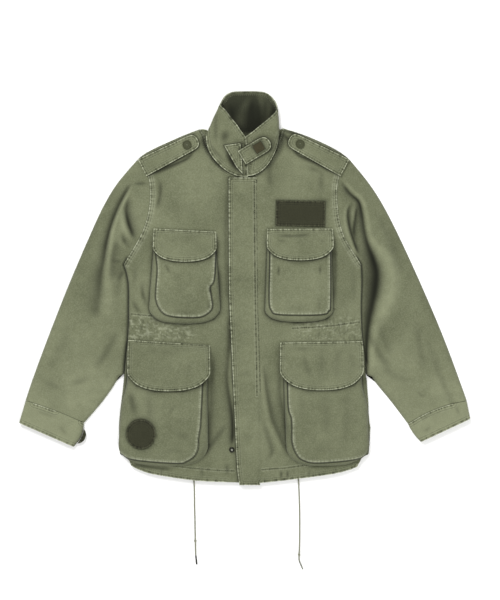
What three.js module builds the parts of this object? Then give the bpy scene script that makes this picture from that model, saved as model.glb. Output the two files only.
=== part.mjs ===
import * as THREE from "three";

// Olive field jacket, fastened and laid flat on its back. Millimetres, +Z up, +Y towards the collar.
// Right and left are the wearer's, so the right side has negative x. The surface it lies on is z = 0.

// Driving sizes
const CLOTH = 2; // body cloth with its facing
const HEAVY = 2.4; // collar, cuffs and placket, folded double
const THIN = 1.2; // patches
const COLLAR_END = 1.6; // the collar's square end, a single fold
const SEAM = 0.3; // clearance between pieces at a seam
const ARMHOLE_EASE = 0.42; // clearance where a sleeve meets its armhole
const LAY = 0.5; // clearance under a piece that lies on another
const POUCH_LAY = 1.0; // clearance under the pouches, whose faces are larger
const EDGE_ROLL = 9; // height and width of the rounded side edges
const CROWN = 4.5; // how much more the middle of a panel rises
const CROWN_REACH = 70; // distance from the side at which the crown is full
const HEM_DROP = 5; // how much lower the front lies at the hem
const HEM_REACH = 90;
const CHEST_DEPTH = 12; // bellows depth of the chest pockets
const LOWER_DEPTH = 14; // bellows depth of the lower pockets
const CUFF_HEIGHT = 13;
const CUFF_FLATTENING = 0.8; // share of the crown that a sleeve loses towards its cuff
const TIP_SHARE = 0.03; // how much shorter the sleeve's own armhole edge is than the front's
const COLLAR_FLOOR = 0.4; // lowest point of the collar's outer face
const DEEPEST_FOLD = 5.5; // crossing folds go no deeper than this
const PLACKET_EDGE = 12; // where the two fronts end under the placket
const CORD_RADIUS = 1.5;
const CORD_STEPS = 26;
const AGLET_LENGTH = 20;

const SURFACE = CLOTH + SEAM; // lowest point of what lies over the back panel

const olive = new THREE.Color("#7c8067");
const oliveLight = new THREE.Color("#8a8e74");
const oliveDark = new THREE.Color("#414230");

// Outline tables: the sides by height, then the armholes, shoulders, neck and hem
const sideRows = [
  { y: -391, right: -268, left: 266 },
  { y: -371, right: -277, left: 277 },
  { y: -305, right: -280, left: 280 },
  { y: -224, right: -271, left: 274 },
  { y: -150, right: -264, left: 270 },
  { y: -100, right: -259, left: 264 },
  { y: -40, right: -258, left: 262 },
  { y: 16, right: -259, left: 264 },
  { y: 52, right: -269, left: 262 },
];
const armholeRows = [
  { y: 52, right: -269, left: 262 },
  { y: 88, right: -247, left: 239 },
  { y: 119, right: -229, left: 221 },
  { y: 158, right: -215, left: 211 },
  { y: 199, right: -209, left: 208 },
  { y: 240, right: -210, left: 208 },
  { y: 262, right: -218, left: 218 },
  { y: 287, right: -238, left: 236 },
];
const shoulderRows = [
  { y: 287, right: -238, left: 236 },
  { y: 300, right: -224, left: 222 },
  { y: 314, right: -197, left: 198 },
  { y: 327, right: -168, left: 171 },
  { y: 340, right: -139, left: 141 },
  { y: 353, right: -106, left: 103 },
  { y: 357, right: -92, left: 88 },
];
const neckRows = [
  { y: 357, right: -92, left: 88 },
  { y: 330, right: -86, left: 79 },
  { y: 300, right: -73, left: 66 },
  { y: 278, right: -55, left: 50 },
  { y: 263, right: -38, left: 34 },
  { y: 253, right: -18, left: 18 },
];
const hemRows = [
  { x: -268, y: -391 },
  { x: -262, y: -401 },
  { x: -222, y: -413 },
  { x: -112, y: -430 },
  { x: -29, y: -434 },
  { x: 29, y: -436 },
  { x: 92, y: -430 },
  { x: 193, y: -417 },
  { x: 262, y: -404 },
  { x: 266, y: -391 },
];

// Sleeve edges, from the shoulder tip or the armpit down to the cuff seam
const sleeveTables = {
  right: {
    outer: [
      { x: -238, y: 287 },
      { x: -284, y: 233 },
      { x: -316, y: 179 },
      { x: -341, y: 125 },
      { x: -387, y: 18 },
      { x: -430, y: -90 },
      { x: -470, y: -197 },
      { x: -488, y: -251 },
    ],
    inner: [
      { x: -269, y: 52 },
      { x: -261, y: 16 },
      { x: -260, y: -40 },
      { x: -261, y: -100 },
      { x: -266, y: -150 },
      { x: -278, y: -196 },
      { x: -314, y: -251 },
      { x: -357, y: -301 },
    ],
    cuffOuter: { x: -503, y: -301 },
    cuffInner: { x: -380, y: -355 },
    cuffBulge: 7,
    bow: 3,
  },
  left: {
    outer: [
      { x: 236, y: 287 },
      { x: 280, y: 233 },
      { x: 314, y: 179 },
      { x: 354, y: 99 },
      { x: 403, y: -9 },
      { x: 448, y: -116 },
      { x: 488, y: -224 },
      { x: 498, y: -252 },
    ],
    inner: [
      { x: 262, y: 52 },
      { x: 266, y: 16 },
      { x: 264, y: -40 },
      { x: 266, y: -100 },
      { x: 272, y: -150 },
      { x: 283, y: -196 },
      { x: 327, y: -251 },
      { x: 366, y: -303 },
    ],
    cuffOuter: { x: 506, y: -292 },
    cuffInner: { x: 395, y: -344 },
    cuffBulge: 3,
    bow: 9,
  },
};

// Folds of the body and sleeves: a soft trough (negative) or ridge along a bent line
const foldRows = [
  {
    name: "chest by the right armhole", height: -3, width: 9,
    x0: -198, y0: 250, xm: -180, ym: 215, x1: -196, y1: 172,
  },
  {
    name: "chest ridge beside it", height: 1.5, width: 14,
    x0: -176, y0: 262, xm: -160, ym: 215, x1: -178, y1: 176,
  },
  {
    name: "right sleeve head", height: -5.5, width: 11,
    x0: -252, y0: 240, xm: -300, ym: 150, x1: -309, y1: 94,
  },
  {
    name: "right sleeve inner bend", height: -4.5, width: 12,
    x0: -309, y0: 94, xm: -328, ym: 30, x1: -325, y1: -12,
  },
  {
    name: "right sleeve long fold", height: -3, width: 13,
    x0: -325, y0: -12, xm: -340, ym: -60, x1: -372, y1: -120,
  },
  {
    name: "right armpit fold", height: -4, width: 9,
    x0: -246, y0: 205, xm: -262, ym: 150, x1: -250, y1: 112,
  },
  {
    name: "right armpit to elbow", height: -3.5, width: 10,
    x0: -256, y0: 100, xm: -285, ym: 62, x1: -298, y1: 30,
  },
  {
    name: "right sleeve ridge", height: 2.5, width: 12,
    x0: -275, y0: 170, xm: -290, ym: 110, x1: -292, y1: 60,
  },
  {
    name: "right forearm crease", height: -2, width: 12,
    x0: -345, y0: -150, xm: -375, ym: -175, x1: -415, y1: -180,
  },
  {
    name: "left sleeve head", height: -5, width: 9,
    x0: 214, y0: 226, xm: 240, ym: 206, x1: 258, y1: 172,
  },
  {
    name: "left armpit fold", height: -4, width: 9,
    x0: 236, y0: 178, xm: 228, ym: 140, x1: 256, y1: 74,
  },
  {
    name: "left sleeve drop", height: -4.5, width: 10,
    x0: 268, y0: 160, xm: 264, ym: 110, x1: 284, y1: 58,
  },
  {
    name: "left elbow hollow", height: -6, width: 17,
    x0: 284, y0: 66, xm: 300, ym: 30, x1: 286, y1: -40,
  },
  {
    name: "left sleeve ridge", height: 2, width: 9,
    x0: 250, y0: 160, xm: 248, ym: 110, x1: 268, y1: 60,
  },
  {
    name: "left sleeve outer ridge", height: 2, width: 18,
    x0: 300, y0: 120, xm: 325, ym: 60, x1: 330, y1: 0,
  },
  {
    name: "left forearm crease", height: -2, width: 12,
    x0: 320, y0: -150, xm: 360, ym: -175, x1: 410, y1: -170,
  },
  {
    name: "beside the placket, chest", height: -2.5, width: 9,
    x0: -46, y0: 180, xm: -50, ym: 90, x1: -44, y1: -60,
  },
  {
    name: "beside the placket, skirt", height: -3, width: 10,
    x0: -42, y0: -130, xm: -52, ym: -210, x1: -34, y1: -292,
  },
  {
    name: "right skirt, toward the snap", height: -3, width: 9,
    x0: -32, y0: -305, xm: -52, ym: -335, x1: -84, y1: -362,
  },
  {
    name: "left skirt beside the stitching", height: -3.5, width: 9,
    x0: 56, y0: -205, xm: 64, ym: -290, x1: 78, y1: -352,
  },
  {
    name: "left skirt ridge", height: 1.5, width: 9,
    x0: 68, y0: -200, xm: 78, ym: -270, x1: 92, y1: -330,
  },
  {
    name: "under the left chest pocket", height: -2, width: 9,
    x0: 37, y0: -60, xm: 58, ym: -90, x1: 92, y1: -104,
  },
  {
    name: "under the right chest pocket", height: -2.5, width: 9,
    x0: -222, y0: 10, xm: -214, ym: -40, x1: -188, y1: -88,
  },
  {
    name: "right side under the armpit", height: -2, width: 9,
    x0: -250, y0: 40, xm: -240, ym: 0, x1: -246, y1: -50,
  },
  {
    name: "left side under the armpit", height: -2, width: 9,
    x0: 244, y0: 46, xm: 236, ym: 0, x1: 244, y1: -52,
  },
  {
    name: "left chest to the neck", height: -1.5, width: 14,
    x0: 70, y0: 262, xm: 96, ym: 240, x1: 106, y1: 214,
  },
];

// The waist channel draws the cloth in: a shallow trough with gathers along it
const waist = { y: -92, halfHeight: 26, depth: 1.6, gather: 1.1, pitch: 27, from: 96, to: 268 };

// Bellows pockets: x and y of the flap's top corners, the sides, the bottoms and the bellows
const pocketRows = [
  {
    name: "chest_right", depth: CHEST_DEPTH, mouth: 102, topRight: 132, topLeft: 125,
    flapRight: -201, flapLeft: -62, flapSide: 92, flapBottom: 57,
    right: -201, left: -63, bulgeRight: -212, bulgeLeft: -53, corner: 44, bottom: -81,
    gussetTop: 5, gussetLow: 14, steepAt: null,
  },
  {
    name: "chest_left", depth: CHEST_DEPTH, mouth: 102, topRight: 131, topLeft: 132,
    flapRight: 52, flapLeft: 198, flapSide: 96, flapBottom: 60,
    right: 52, left: 196, bulgeRight: 47, bulgeLeft: 199, corner: 34, bottom: -77,
    gussetTop: 4, gussetLow: 11, steepAt: null,
  },
  {
    name: "lower_right", depth: LOWER_DEPTH, mouth: -154, topRight: -116, topLeft: -128,
    flapRight: -258, flapLeft: -76, flapSide: -184, flapBottom: -231,
    right: -258, left: -82, bulgeRight: -270, bulgeLeft: -80, corner: 46, bottom: -391,
    gussetTop: 6, gussetLow: 16, steepAt: -270,
  },
  {
    name: "lower_left", depth: LOWER_DEPTH, mouth: -154, topRight: -122, topLeft: -119,
    flapRight: 81, flapLeft: 265, flapSide: -180, flapBottom: -229,
    right: 87, left: 262, bulgeRight: 94, bulgeLeft: 267, corner: 46, bottom: -391,
    gussetTop: 6, gussetLow: 13, steepAt: 267,
  },
];

// Collar strip, from its left front end round the back to its right front end, outer face
const collarRows = [
  { seamX: 7, seamY: 249, seamZ: 22.6, rimX: 3, rimY: 336, rimZ: 27 },
  { seamX: 20, seamY: 251, seamZ: 22.4, rimX: 22, rimY: 350, rimZ: 28 },
  { seamX: 40, seamY: 262, seamZ: 21, rimX: 44, rimY: 368, rimZ: 28 },
  { seamX: 58, seamY: 282, seamZ: 20, rimX: 61, rimY: 383, rimZ: 27 },
  { seamX: 72, seamY: 312, seamZ: 19, rimX: 72, rimY: 395, rimZ: 24 },
  { seamX: 78, seamY: 342, seamZ: 12, rimX: 73, rimY: 409, rimZ: 16 },
  { seamX: 72, seamY: 355, seamZ: 3.5, rimX: 64, rimY: 424, rimZ: 9 },
  { seamX: 52, seamY: 352, seamZ: 0.4, rimX: 48, rimY: 437, rimZ: 6 },
  { seamX: 24, seamY: 349, seamZ: 0.4, rimX: 24, rimY: 440, rimZ: 5 },
  { seamX: -4, seamY: 348, seamZ: 0.4, rimX: 0, rimY: 440, rimZ: 5 },
  { seamX: -32, seamY: 349, seamZ: 0.4, rimX: -24, rimY: 439, rimZ: 5 },
  { seamX: -60, seamY: 352, seamZ: 0.4, rimX: -40, rimY: 432, rimZ: 7 },
  { seamX: -76, seamY: 354, seamZ: 4, rimX: -49, rimY: 419, rimZ: 13 },
  { seamX: -84, seamY: 340, seamZ: 13, rimX: -52, rimY: 407, rimZ: 20 },
  { seamX: -76, seamY: 303, seamZ: 18.8, rimX: -42, rimY: 398, rimZ: 23 },
  { seamX: -58, seamY: 279, seamZ: 19, rimX: -26, rimY: 378, rimZ: 23.5 },
  { seamX: -38, seamY: 261, seamZ: 19, rimX: -9, rimY: 354, rimZ: 23.4 },
  { seamX: -16, seamY: 250, seamZ: 19, rimX: 5, rimY: 334, rimZ: 22.8 },
  { seamX: 8, seamY: 247, seamZ: 19, rimX: 20, rimY: 316, rimZ: 22 },
];
const COLLAR_BULGE = 2.5; // how far the middle of the strip swells outwards

// Drawcord routes, from inside the hem to the aglet
const cordRoutes = {
  right: [
    { x: -111.6, y: -424, z: 3.8 },
    { x: -111.6, y: -434, z: 3.8 },
    { x: -111.3, y: -446, z: 1.9 },
    { x: -111, y: -462, z: 1.7 },
    { x: -110.6, y: -490, z: 1.7 },
    { x: -109.8, y: -520, z: 1.7 },
    { x: -109.4, y: -545, z: 2.2 },
    { x: -108.9, y: -566, z: 3.3 },
    { x: -108.4, y: -584, z: 2.4 },
    { x: -108, y: -598, z: 1.8 },
  ],
  left: [
    { x: 122, y: -422, z: 3.8 },
    { x: 122.4, y: -433, z: 3.8 },
    { x: 122.8, y: -446, z: 1.9 },
    { x: 123.6, y: -465, z: 1.7 },
    { x: 124.6, y: -500, z: 1.7 },
    { x: 124.8, y: -540, z: 1.7 },
    { x: 124.4, y: -576, z: 2.2 },
    { x: 123.4, y: -598, z: 3.3 },
    { x: 123.4, y: -610, z: 2.8 },
  ],
};
const knotShares = { right: 0.815, left: 0.93 }; // how far along each cord its knot sits
const agletEnds = {
  right: { x: -105.6, y: -620, z: 1.8 },
  left: { x: 131, y: -628, z: 1.8 },
};

function clamp01(value) {
  return Math.min(1, Math.max(0, value));
}

function smooth(value) {
  const t = clamp01(value);
  return t * t * (3 - 2 * t);
}

// Quarter round: 0 at the edge with a steep start, 1 at the full width
function quarterRound(value) {
  const t = 1 - clamp01(value);
  return Math.sqrt(1 - t * t);
}

function edgeOf(rows, shift = 0) {
  return new THREE.SplineCurve(rows.map((row) => new THREE.Vector2(row.x + shift, row.y)));
}

function columnOf(rows, side, shift = 0) {
  return rows.map((row) => ({ x: row[side] + shift, y: row.y }));
}

function joined(...curves) {
  const path = new THREE.CurvePath();
  curves.forEach((curve) => path.add(curve));
  return path;
}

function line(from, to) {
  return new THREE.LineCurve(new THREE.Vector2(from.x, from.y), new THREE.Vector2(to.x, to.y));
}

// The part of a table between two x values, with rows added where it is cut
function rowsBetween(rows, fromX, toX) {
  const heightAt = (x) => {
    const i = Math.max(1, rows.findIndex((row) => row.x >= x));
    const share = (x - rows[i - 1].x) / (rows[i].x - rows[i - 1].x);
    return THREE.MathUtils.lerp(rows[i - 1].y, rows[i].y, share);
  };
  const inside = rows.filter((row) => row.x > fromX && row.x < toX);
  return [{ x: fromX, y: heightAt(fromX) }, ...inside, { x: toX, y: heightAt(toX) }];
}

// A flat patch between four edges, read by its shares across and along
function patchBetween(bottom, top, left, right) {
  const p00 = bottom.getPoint(0);
  const p10 = bottom.getPoint(1);
  const p01 = top.getPoint(0);
  const p11 = top.getPoint(1);
  return (u, v) => {
    const low = bottom.getPoint(u);
    const high = top.getPoint(u);
    const near = left.getPoint(v);
    const far = right.getPoint(v);
    const blend = (key) =>
      (1 - v) * low[key] + v * high[key] + (1 - u) * near[key] + u * far[key]
      - (1 - u) * (1 - v) * p00[key] - u * (1 - v) * p10[key]
      - (1 - u) * v * p01[key] - u * v * p11[key];
    return { x: blend("x"), y: blend("y") };
  };
}

function distanceTo(curve, steps = 90) {
  const points = curve.getPoints ? curve.getSpacedPoints(steps) : curve;
  return (x, y) => {
    let best = Infinity;
    for (let i = 1; i < points.length; i += 1) {
      const a = points[i - 1];
      const b = points[i];
      const dx = b.x - a.x;
      const dy = b.y - a.y;
      const t = clamp01(((x - a.x) * dx + (y - a.y) * dy) / (dx * dx + dy * dy || 1));
      best = Math.min(best, Math.hypot(x - a.x - t * dx, y - a.y - t * dy));
    }
    return best;
  };
}

const folds = foldRows.map((row) => {
  const bend = new THREE.QuadraticBezierCurve(
    new THREE.Vector2(row.x0, row.y0),
    new THREE.Vector2(row.xm, row.ym),
    new THREE.Vector2(row.x1, row.y1),
  );
  return { ...row, distance: distanceTo(bend, 10) };
});

function foldHeight(x, y) {
  let sum = 0;
  for (const fold of folds) {
    sum += fold.height * Math.exp(-((fold.distance(x, y) / fold.width) ** 2));
  }
  return Math.max(sum, -DEEPEST_FOLD);
}

function waistHeight(x, y) {
  const across = Math.abs(x);
  const along = smooth((across - waist.from) / 20) * smooth((waist.to - across) / 20);
  const band = Math.exp(-(((y - waist.y) / waist.halfHeight) ** 2));
  const wave = Math.sin((across / waist.pitch) * 2 * Math.PI);
  return along * band * (waist.gather * wave - waist.depth);
}

const sideEdges = {
  right: edgeOf(columnOf(sideRows, "right")),
  left: edgeOf(columnOf(sideRows, "left")),
};
const shoulderEdges = {
  right: edgeOf(columnOf(shoulderRows, "right")),
  left: edgeOf(columnOf(shoulderRows, "left")),
};
const bodyEdgeDistances = [...Object.values(sideEdges), ...Object.values(shoulderEdges)].map(
  (edge) => distanceTo(edge),
);

// Height of a panel that rolls down at its edges and is crowned between them
function panelHeight(distance, x, y) {
  const roll = EDGE_ROLL * quarterRound(distance / EDGE_ROLL);
  const crown = CROWN * smooth(distance / CROWN_REACH);
  const relief = foldHeight(x, y) * smooth(distance / 22);
  return SURFACE + roll + crown + relief;
}

function frontHeight(x, y) {
  const distance = Math.min(...bodyEdgeDistances.map((measure) => measure(x, y)));
  const hem = HEM_DROP * (1 - smooth((y + 432) / HEM_REACH)) * smooth(distance / 20);
  return panelHeight(distance, x, y) + waistHeight(x, y) * smooth(distance / 20) - hem;
}

// Shares of a span: close steps over the rounded ends, even steps between
function shares(count, startRound, endRound) {
  const close = [0.15, 0.5];
  const list = [0];
  if (startRound > 0) list.push(...close.map((t) => t * startRound), startRound);
  const from = startRound;
  const to = 1 - endRound;
  for (let i = 1; i < count; i += 1) list.push(from + ((to - from) * i) / count);
  if (endRound > 0) list.push(to, ...close.map((t) => 1 - t * endRound).reverse());
  list.push(1);
  return list;
}

// A closed solid between an outer and an inner grid of points, given row by row
function solidBetween(outer, inner, around = false) {
  const rows = outer.length;
  const columns = outer[0].length;
  const points = [...outer.flat(), ...inner.flat()];
  const half = rows * columns;
  const faces = [];
  const quad = (a, b, c, d) => faces.push(a, b, c, a, c, d);
  const at = (row, column) => row * columns + (column % columns);
  const last = around ? columns : columns - 1;
  for (let j = 0; j < rows - 1; j += 1) {
    for (let i = 0; i < last; i += 1) {
      quad(at(j, i), at(j, i + 1), at(j + 1, i + 1), at(j + 1, i));
      quad(half + at(j, i), half + at(j + 1, i), half + at(j + 1, i + 1), half + at(j, i + 1));
    }
  }
  for (let i = 0; i < last; i += 1) {
    quad(at(0, i), half + at(0, i), half + at(0, i + 1), at(0, i + 1));
    quad(at(rows - 1, i + 1), half + at(rows - 1, i + 1), half + at(rows - 1, i), at(rows - 1, i));
  }
  for (let j = 0; j < rows - 1 && !around; j += 1) {
    const end = columns - 1;
    quad(at(j + 1, 0), half + at(j + 1, 0), half + at(j, 0), at(j, 0));
    quad(at(j, end), half + at(j, end), half + at(j + 1, end), at(j + 1, end));
  }
  const geometry = new THREE.BufferGeometry();
  geometry.setAttribute("position", new THREE.Float32BufferAttribute(points.flatMap((p) => p.toArray()), 3));
  geometry.setIndex(faces);
  geometry.computeVertexNormals();
  return geometry;
}

// A wall of cloth: point(u, v) is its outer face, and its inner face is one thickness behind.
// Where upright(u, v) holds the wall ends square, and lowest(x, y) keeps its inner face off what is below.
function wall({ point, across, along, thickness = CLOTH, upright = null, lowest = null, around = false }) {
  const outer = along.map((v) => across.map((u) => point(u, v)));
  const rows = outer.length;
  const columns = outer[0].length;
  const inner = outer.map((row, j) =>
    row.map((p, i) => {
      const west = around ? row[(i + columns - 1) % columns] : row[Math.max(0, i - 1)];
      const east = around ? row[(i + 1) % columns] : row[Math.min(columns - 1, i + 1)];
      const south = outer[Math.max(0, j - 1)][i];
      const north = outer[Math.min(rows - 1, j + 1)][i];
      const normal = east.clone().sub(west).cross(north.clone().sub(south)).normalize();
      if (upright && upright(across[i], along[j])) normal.set(0, 0, 1);
      const q = p.clone().addScaledVector(normal, -thickness);
      if (lowest) q.z = Math.max(q.z, Math.min(lowest(q.x, q.y), p.z));
      return q;
    }),
  );
  return solidBetween(outer, inner, around);
}

// A flat layer of body cloth on the surface
function plate(points) {
  return new THREE.ExtrudeGeometry(new THREE.Shape(points), { depth: CLOTH, bevelEnabled: false });
}

const jacket = new THREE.Group();

function add(name, geometry, color = olive, roughness = 0.95, metalness = 0) {
  const material = new THREE.MeshStandardMaterial({ color, roughness, metalness });
  const mesh = new THREE.Mesh(geometry, material);
  mesh.name = name;
  jacket.add(mesh);
  return mesh;
}

// Body: the armhole stations are shared by the fronts and the sleeves, so their seams run together
const armholeShares = shares(8, 0.04, 0.04);
const sideShare = 0.635; // where the armpit lies along a front's side edge
const frontAlong = [
  ...shares(21, 0, 0).map((t) => t * sideShare),
  ...armholeShares.slice(1).map((t) => sideShare + t * (1 - sideShare)),
];

function sideAndArmhole(side, shift) {
  const lower = edgeOf(columnOf(sideRows, side, shift));
  const upper = edgeOf(columnOf(armholeRows, side, shift));
  return {
    lower,
    upper,
    getPoint: (t) =>
      t <= sideShare ? lower.getPointAt(t / sideShare) : upper.getPointAt((t - sideShare) / (1 - sideShare)),
  };
}

function centreEdge(x) {
  const [low] = rowsBetween(hemRows, x, x + 1);
  return line(low, { x, y: neckRows[neckRows.length - 1].y - 4 });
}

const fronts = [];

function addFront(side, sign) {
  const centreX = PLACKET_EDGE + sign * SEAM;
  const inward = -sign * SEAM;
  const outerEdge = sideAndArmhole(side, inward);
  const centre = centreEdge(centreX);
  const neck = columnOf(neckRows, side).concat({ x: centreX, y: neckRows[neckRows.length - 1].y - 4 });
  const sideX = sideRows[0][side] + inward;
  const top = joined(edgeOf(columnOf(shoulderRows, side, inward)), edgeOf(neck, 0));
  const hem = joined(edgeOf(rowsBetween(hemRows, Math.min(centreX, sideX), Math.max(centreX, sideX))));
  const flip = (curve) => ({ getPoint: (t) => curve.getPoint(1 - t) });
  const edges = sign < 0 ? [hem, top, outerEdge, centre] : [hem, flip(top), centre, outerEdge];
  const patch = patchBetween(...edges);
  const across = sign < 0 ? shares(13, 0.035, 0) : shares(13, 0, 0.035);
  const geometry = wall({
    point: (u, v) => {
      const { x, y } = patch(u, v);
      return new THREE.Vector3(x, y, frontHeight(x, y));
    },
    across,
    along: frontAlong,
    upright: (u, v) => v === 0 || u === (sign < 0 ? 1 : 0) || (u === (sign < 0 ? 0 : 1) && v > sideShare),
    lowest: () => SURFACE,
  });
  fronts.push(add(`front_${side}`, geometry));
}

addFront("right", -1);
addFront("left", 1);

// Back: one flat plate under both fronts
const backSides = {
  right: [edgeOf(columnOf(sideRows, "right", 1)), edgeOf(columnOf(armholeRows, "right", SEAM))],
  left: [edgeOf(columnOf(sideRows, "left", -1)), edgeOf(columnOf(armholeRows, "left", -SEAM))],
};
const backNeck = edgeOf([
  { x: 88, y: 356 },
  { x: 70, y: 349 },
  { x: 36, y: 344 },
  { x: 0, y: 342 },
  { x: -36, y: 344 },
  { x: -72, y: 349 },
  { x: -92, y: 356 },
]);
const backOutline = [
  ...edgeOf(hemRows).getSpacedPoints(22),
  ...backSides.left[0].getSpacedPoints(12).slice(1),
  ...backSides.left[1].getSpacedPoints(14).slice(1),
  ...edgeOf(columnOf(shoulderRows, "left", -SEAM)).getSpacedPoints(7).slice(1),
  ...backNeck.getSpacedPoints(10).slice(1),
  ...edgeOf(columnOf(shoulderRows, "right", SEAM)).getSpacedPoints(7).reverse().slice(1),
  ...backSides.right[1].getSpacedPoints(14).reverse().slice(1),
  ...backSides.right[0].getSpacedPoints(12).reverse().slice(1, -1),
];
add("back", plate(backOutline));

// Sleeves: an upper layer that rolls down at both edges, over a flat under layer
function sleeveParts(side) {
  const table = sleeveTables[side];
  const sign = side === "right" ? -1 : 1;
  const armhole = edgeOf(columnOf(armholeRows, side, sign * ARMHOLE_EASE).reverse());
  const outer = edgeOf(table.outer.map((row) => ({ x: row.x + sign * 2 * SEAM, y: row.y })));
  const inner = edgeOf(table.inner.map((row) => ({ x: row.x + sign * SEAM, y: row.y })));
  const outerEnd = table.outer[table.outer.length - 1];
  const innerEnd = table.inner[table.inner.length - 1];
  const down = new THREE.Vector2(table.cuffOuter.x - outerEnd.x, table.cuffOuter.y - outerEnd.y).normalize();
  // The cuff seam bows up the sleeve; shift moves it along the sleeve
  const cuffSeam = (t, shift = 0) => ({
    x: THREE.MathUtils.lerp(outerEnd.x, innerEnd.x, t) - down.x * (table.bow * 4 * t * (1 - t) - shift),
    y: THREE.MathUtils.lerp(outerEnd.y, innerEnd.y, t) - down.y * (table.bow * 4 * t * (1 - t) - shift),
  });
  return { table, sign, armhole, outer, inner, down, cuffSeam };
}

function addSleeve(side) {
  const { sign, armhole, outer, inner, cuffSeam } = sleeveParts(side);
  const edges = [distanceTo(outer), distanceTo(inner)];
  const headShare = 1 - sideShare - TIP_SHARE; // where the armpit lies along the sleeve
  const near = (t) =>
    t <= headShare ? armhole.getPointAt(t / headShare) : inner.getPointAt((t - headShare) / (1 - headShare));
  const far = (t) => outer.getPointAt(t);
  // The last rows bow with the cuff seam
  const seamStart = cuffSeam(0);
  const seamEnd = cuffSeam(1);
  const endBow = (u, v) => {
    const seam = cuffSeam(u);
    const share = smooth((v - 0.8) / 0.2);
    return {
      x: (seam.x - THREE.MathUtils.lerp(seamStart.x, seamEnd.x, u)) * share,
      y: (seam.y - THREE.MathUtils.lerp(seamStart.y, seamEnd.y, u)) * share,
    };
  };
  const point = (u, v) => {
    const start = far(v);
    const end = near(v);
    const bow = endBow(u, v);
    const x = THREE.MathUtils.lerp(start.x, end.x, u) + bow.x;
    const y = THREE.MathUtils.lerp(start.y, end.y, u) + bow.y;
    const distance = Math.min(...edges.map((measure) => measure(x, y)));
    const flattening = CUFF_FLATTENING * CROWN * smooth(distance / CROWN_REACH) * smooth((v - 0.7) / 0.3);
    return new THREE.Vector3(x, y, panelHeight(distance, x, y) - flattening);
  };
  const stations = [
    ...armholeShares.map((t) => t * headShare).slice(2),
    ...shares(15, 0, 0).slice(1).map((t) => headShare + t * (1 - headShare)),
  ];
  const along = stations.map((t) => 1 - t).reverse();
  const onNear = (u) => u === (sign < 0 ? 1 : 0);
  const geometry = wall({
    point: sign < 0 ? (u, v) => point(u, 1 - v) : (u, v) => point(1 - u, 1 - v),
    across: shares(7, 0.07, 0.07),
    along,
    upright: (u, v) => v === 0 || (onNear(u) && 1 - v < headShare),
    lowest: () => SURFACE,
  });
  add(`sleeve_${side}_upper`, geometry, oliveLight);
  const under = [
    ...outer.getSpacedPoints(14),
    ...shares(6, 0, 0).slice(1, -1).map((t) => cuffSeam(t)),
    ...inner.getSpacedPoints(12).reverse(),
    ...armhole.getSpacedPoints(14).reverse().slice(1, -1),
  ].map((p) => new THREE.Vector2(p.x, p.y));
  add(`sleeve_${side}_under`, plate(under), oliveLight);
}

// A point of a cuff laid flat: t runs from its outer to its inner edge, v from its seam to its mouth
const CUFF_GAP = 0.8; // clearance at the cuff seam
function cuffPlan(side) {
  const { table, cuffSeam } = sleeveParts(side);
  const start = new THREE.Vector2(table.cuffOuter.x, table.cuffOuter.y);
  const end = new THREE.Vector2(table.cuffInner.x, table.cuffInner.y);
  const inward = end.clone().sub(start).normalize();
  const at = (t, v) => {
    const top = cuffSeam(t, CUFF_GAP);
    const low = start.clone().lerp(end, t);
    const bulge = table.cuffBulge * t * 4 * v * (1 - v);
    return new THREE.Vector2(top.x, top.y).lerp(low, v).addScaledVector(inward, bulge);
  };
  return { at, inward };
}

// Cuffs: a flattened ring whose ends are half rounds
function addCuff(side) {
  const { sign } = sleeveParts(side);
  const plan = cuffPlan(side);
  const flat = 6; // stations on each straight face
  const bend = 5; // stations round each end
  const radius = CUFF_HEIGHT / 2;
  const stations = [];
  for (let i = 0; i < flat; i += 1) stations.push({ end: 0, share: i / flat, low: true });
  for (let i = 0; i < bend; i += 1) stations.push({ end: 1, angle: -Math.PI / 2 + (Math.PI * i) / bend });
  for (let i = 0; i < flat; i += 1) stations.push({ end: 0, share: 1 - i / flat, low: false });
  for (let i = 0; i < bend; i += 1) stations.push({ end: -1, angle: Math.PI / 2 + (Math.PI * i) / bend });
  const point = (u, v) => {
    const station = stations[Math.round(u * stations.length)];
    const inset = radius / plan.at(0, v).distanceTo(plan.at(1, v));
    if (station.end === 0) {
      const p = plan.at(inset + station.share * (1 - 2 * inset), v);
      return new THREE.Vector3(p.x, p.y, station.low ? 0 : CUFF_HEIGHT);
    }
    const reach = inset * Math.abs(Math.cos(station.angle));
    const p = plan.at(station.end > 0 ? 1 - inset + reach : inset - reach, v);
    return new THREE.Vector3(p.x, p.y, radius + radius * Math.sin(station.angle));
  };
  const across = stations.map((_, i) => i / stations.length);
  const geometry = wall({
    point: sign < 0 ? (u, v) => point(u, v) : (u, v) => point(u, 1 - v),
    across,
    along: shares(3, 0, 0),
    thickness: HEAVY,
    around: true,
  });
  add(`cuff_${side}`, geometry, oliveLight);
}

["right", "left"].forEach((side) => {
  addSleeve(side);
  addCuff(side);
});

// Placket: the storm flap over both fronts, free along its edge on the wearer's right
const placketRows = [
  { y: -440, x: -10, right: 36 },
  { y: -403, x: -15, right: 38 },
  { y: -296, x: -20, right: 38 },
  { y: -211, x: -24, right: 37 },
  { y: -102, x: -29, right: 34 },
  { y: 4, x: -33, right: 31 },
  { y: 246, x: -34, right: 29 },
];

// Height of the fronts' own faces, with the smooth form where neither front lies
const downward = new THREE.Vector3(0, 0, -1);
const probe = new THREE.Raycaster();
fronts.forEach((mesh) => mesh.updateMatrixWorld(true));

function topOf(meshes, x, y) {
  probe.set(new THREE.Vector3(x, y, 200), downward);
  const [hit] = probe.intersectObjects(meshes, false);
  return hit ? hit.point.z : null;
}

function frontTop(x, y) {
  return topOf(fronts, x, y) ?? frontHeight(x, y);
}

function layHeight(x, y, thickness) {
  return frontTop(x, y) + LAY + thickness;
}

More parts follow.
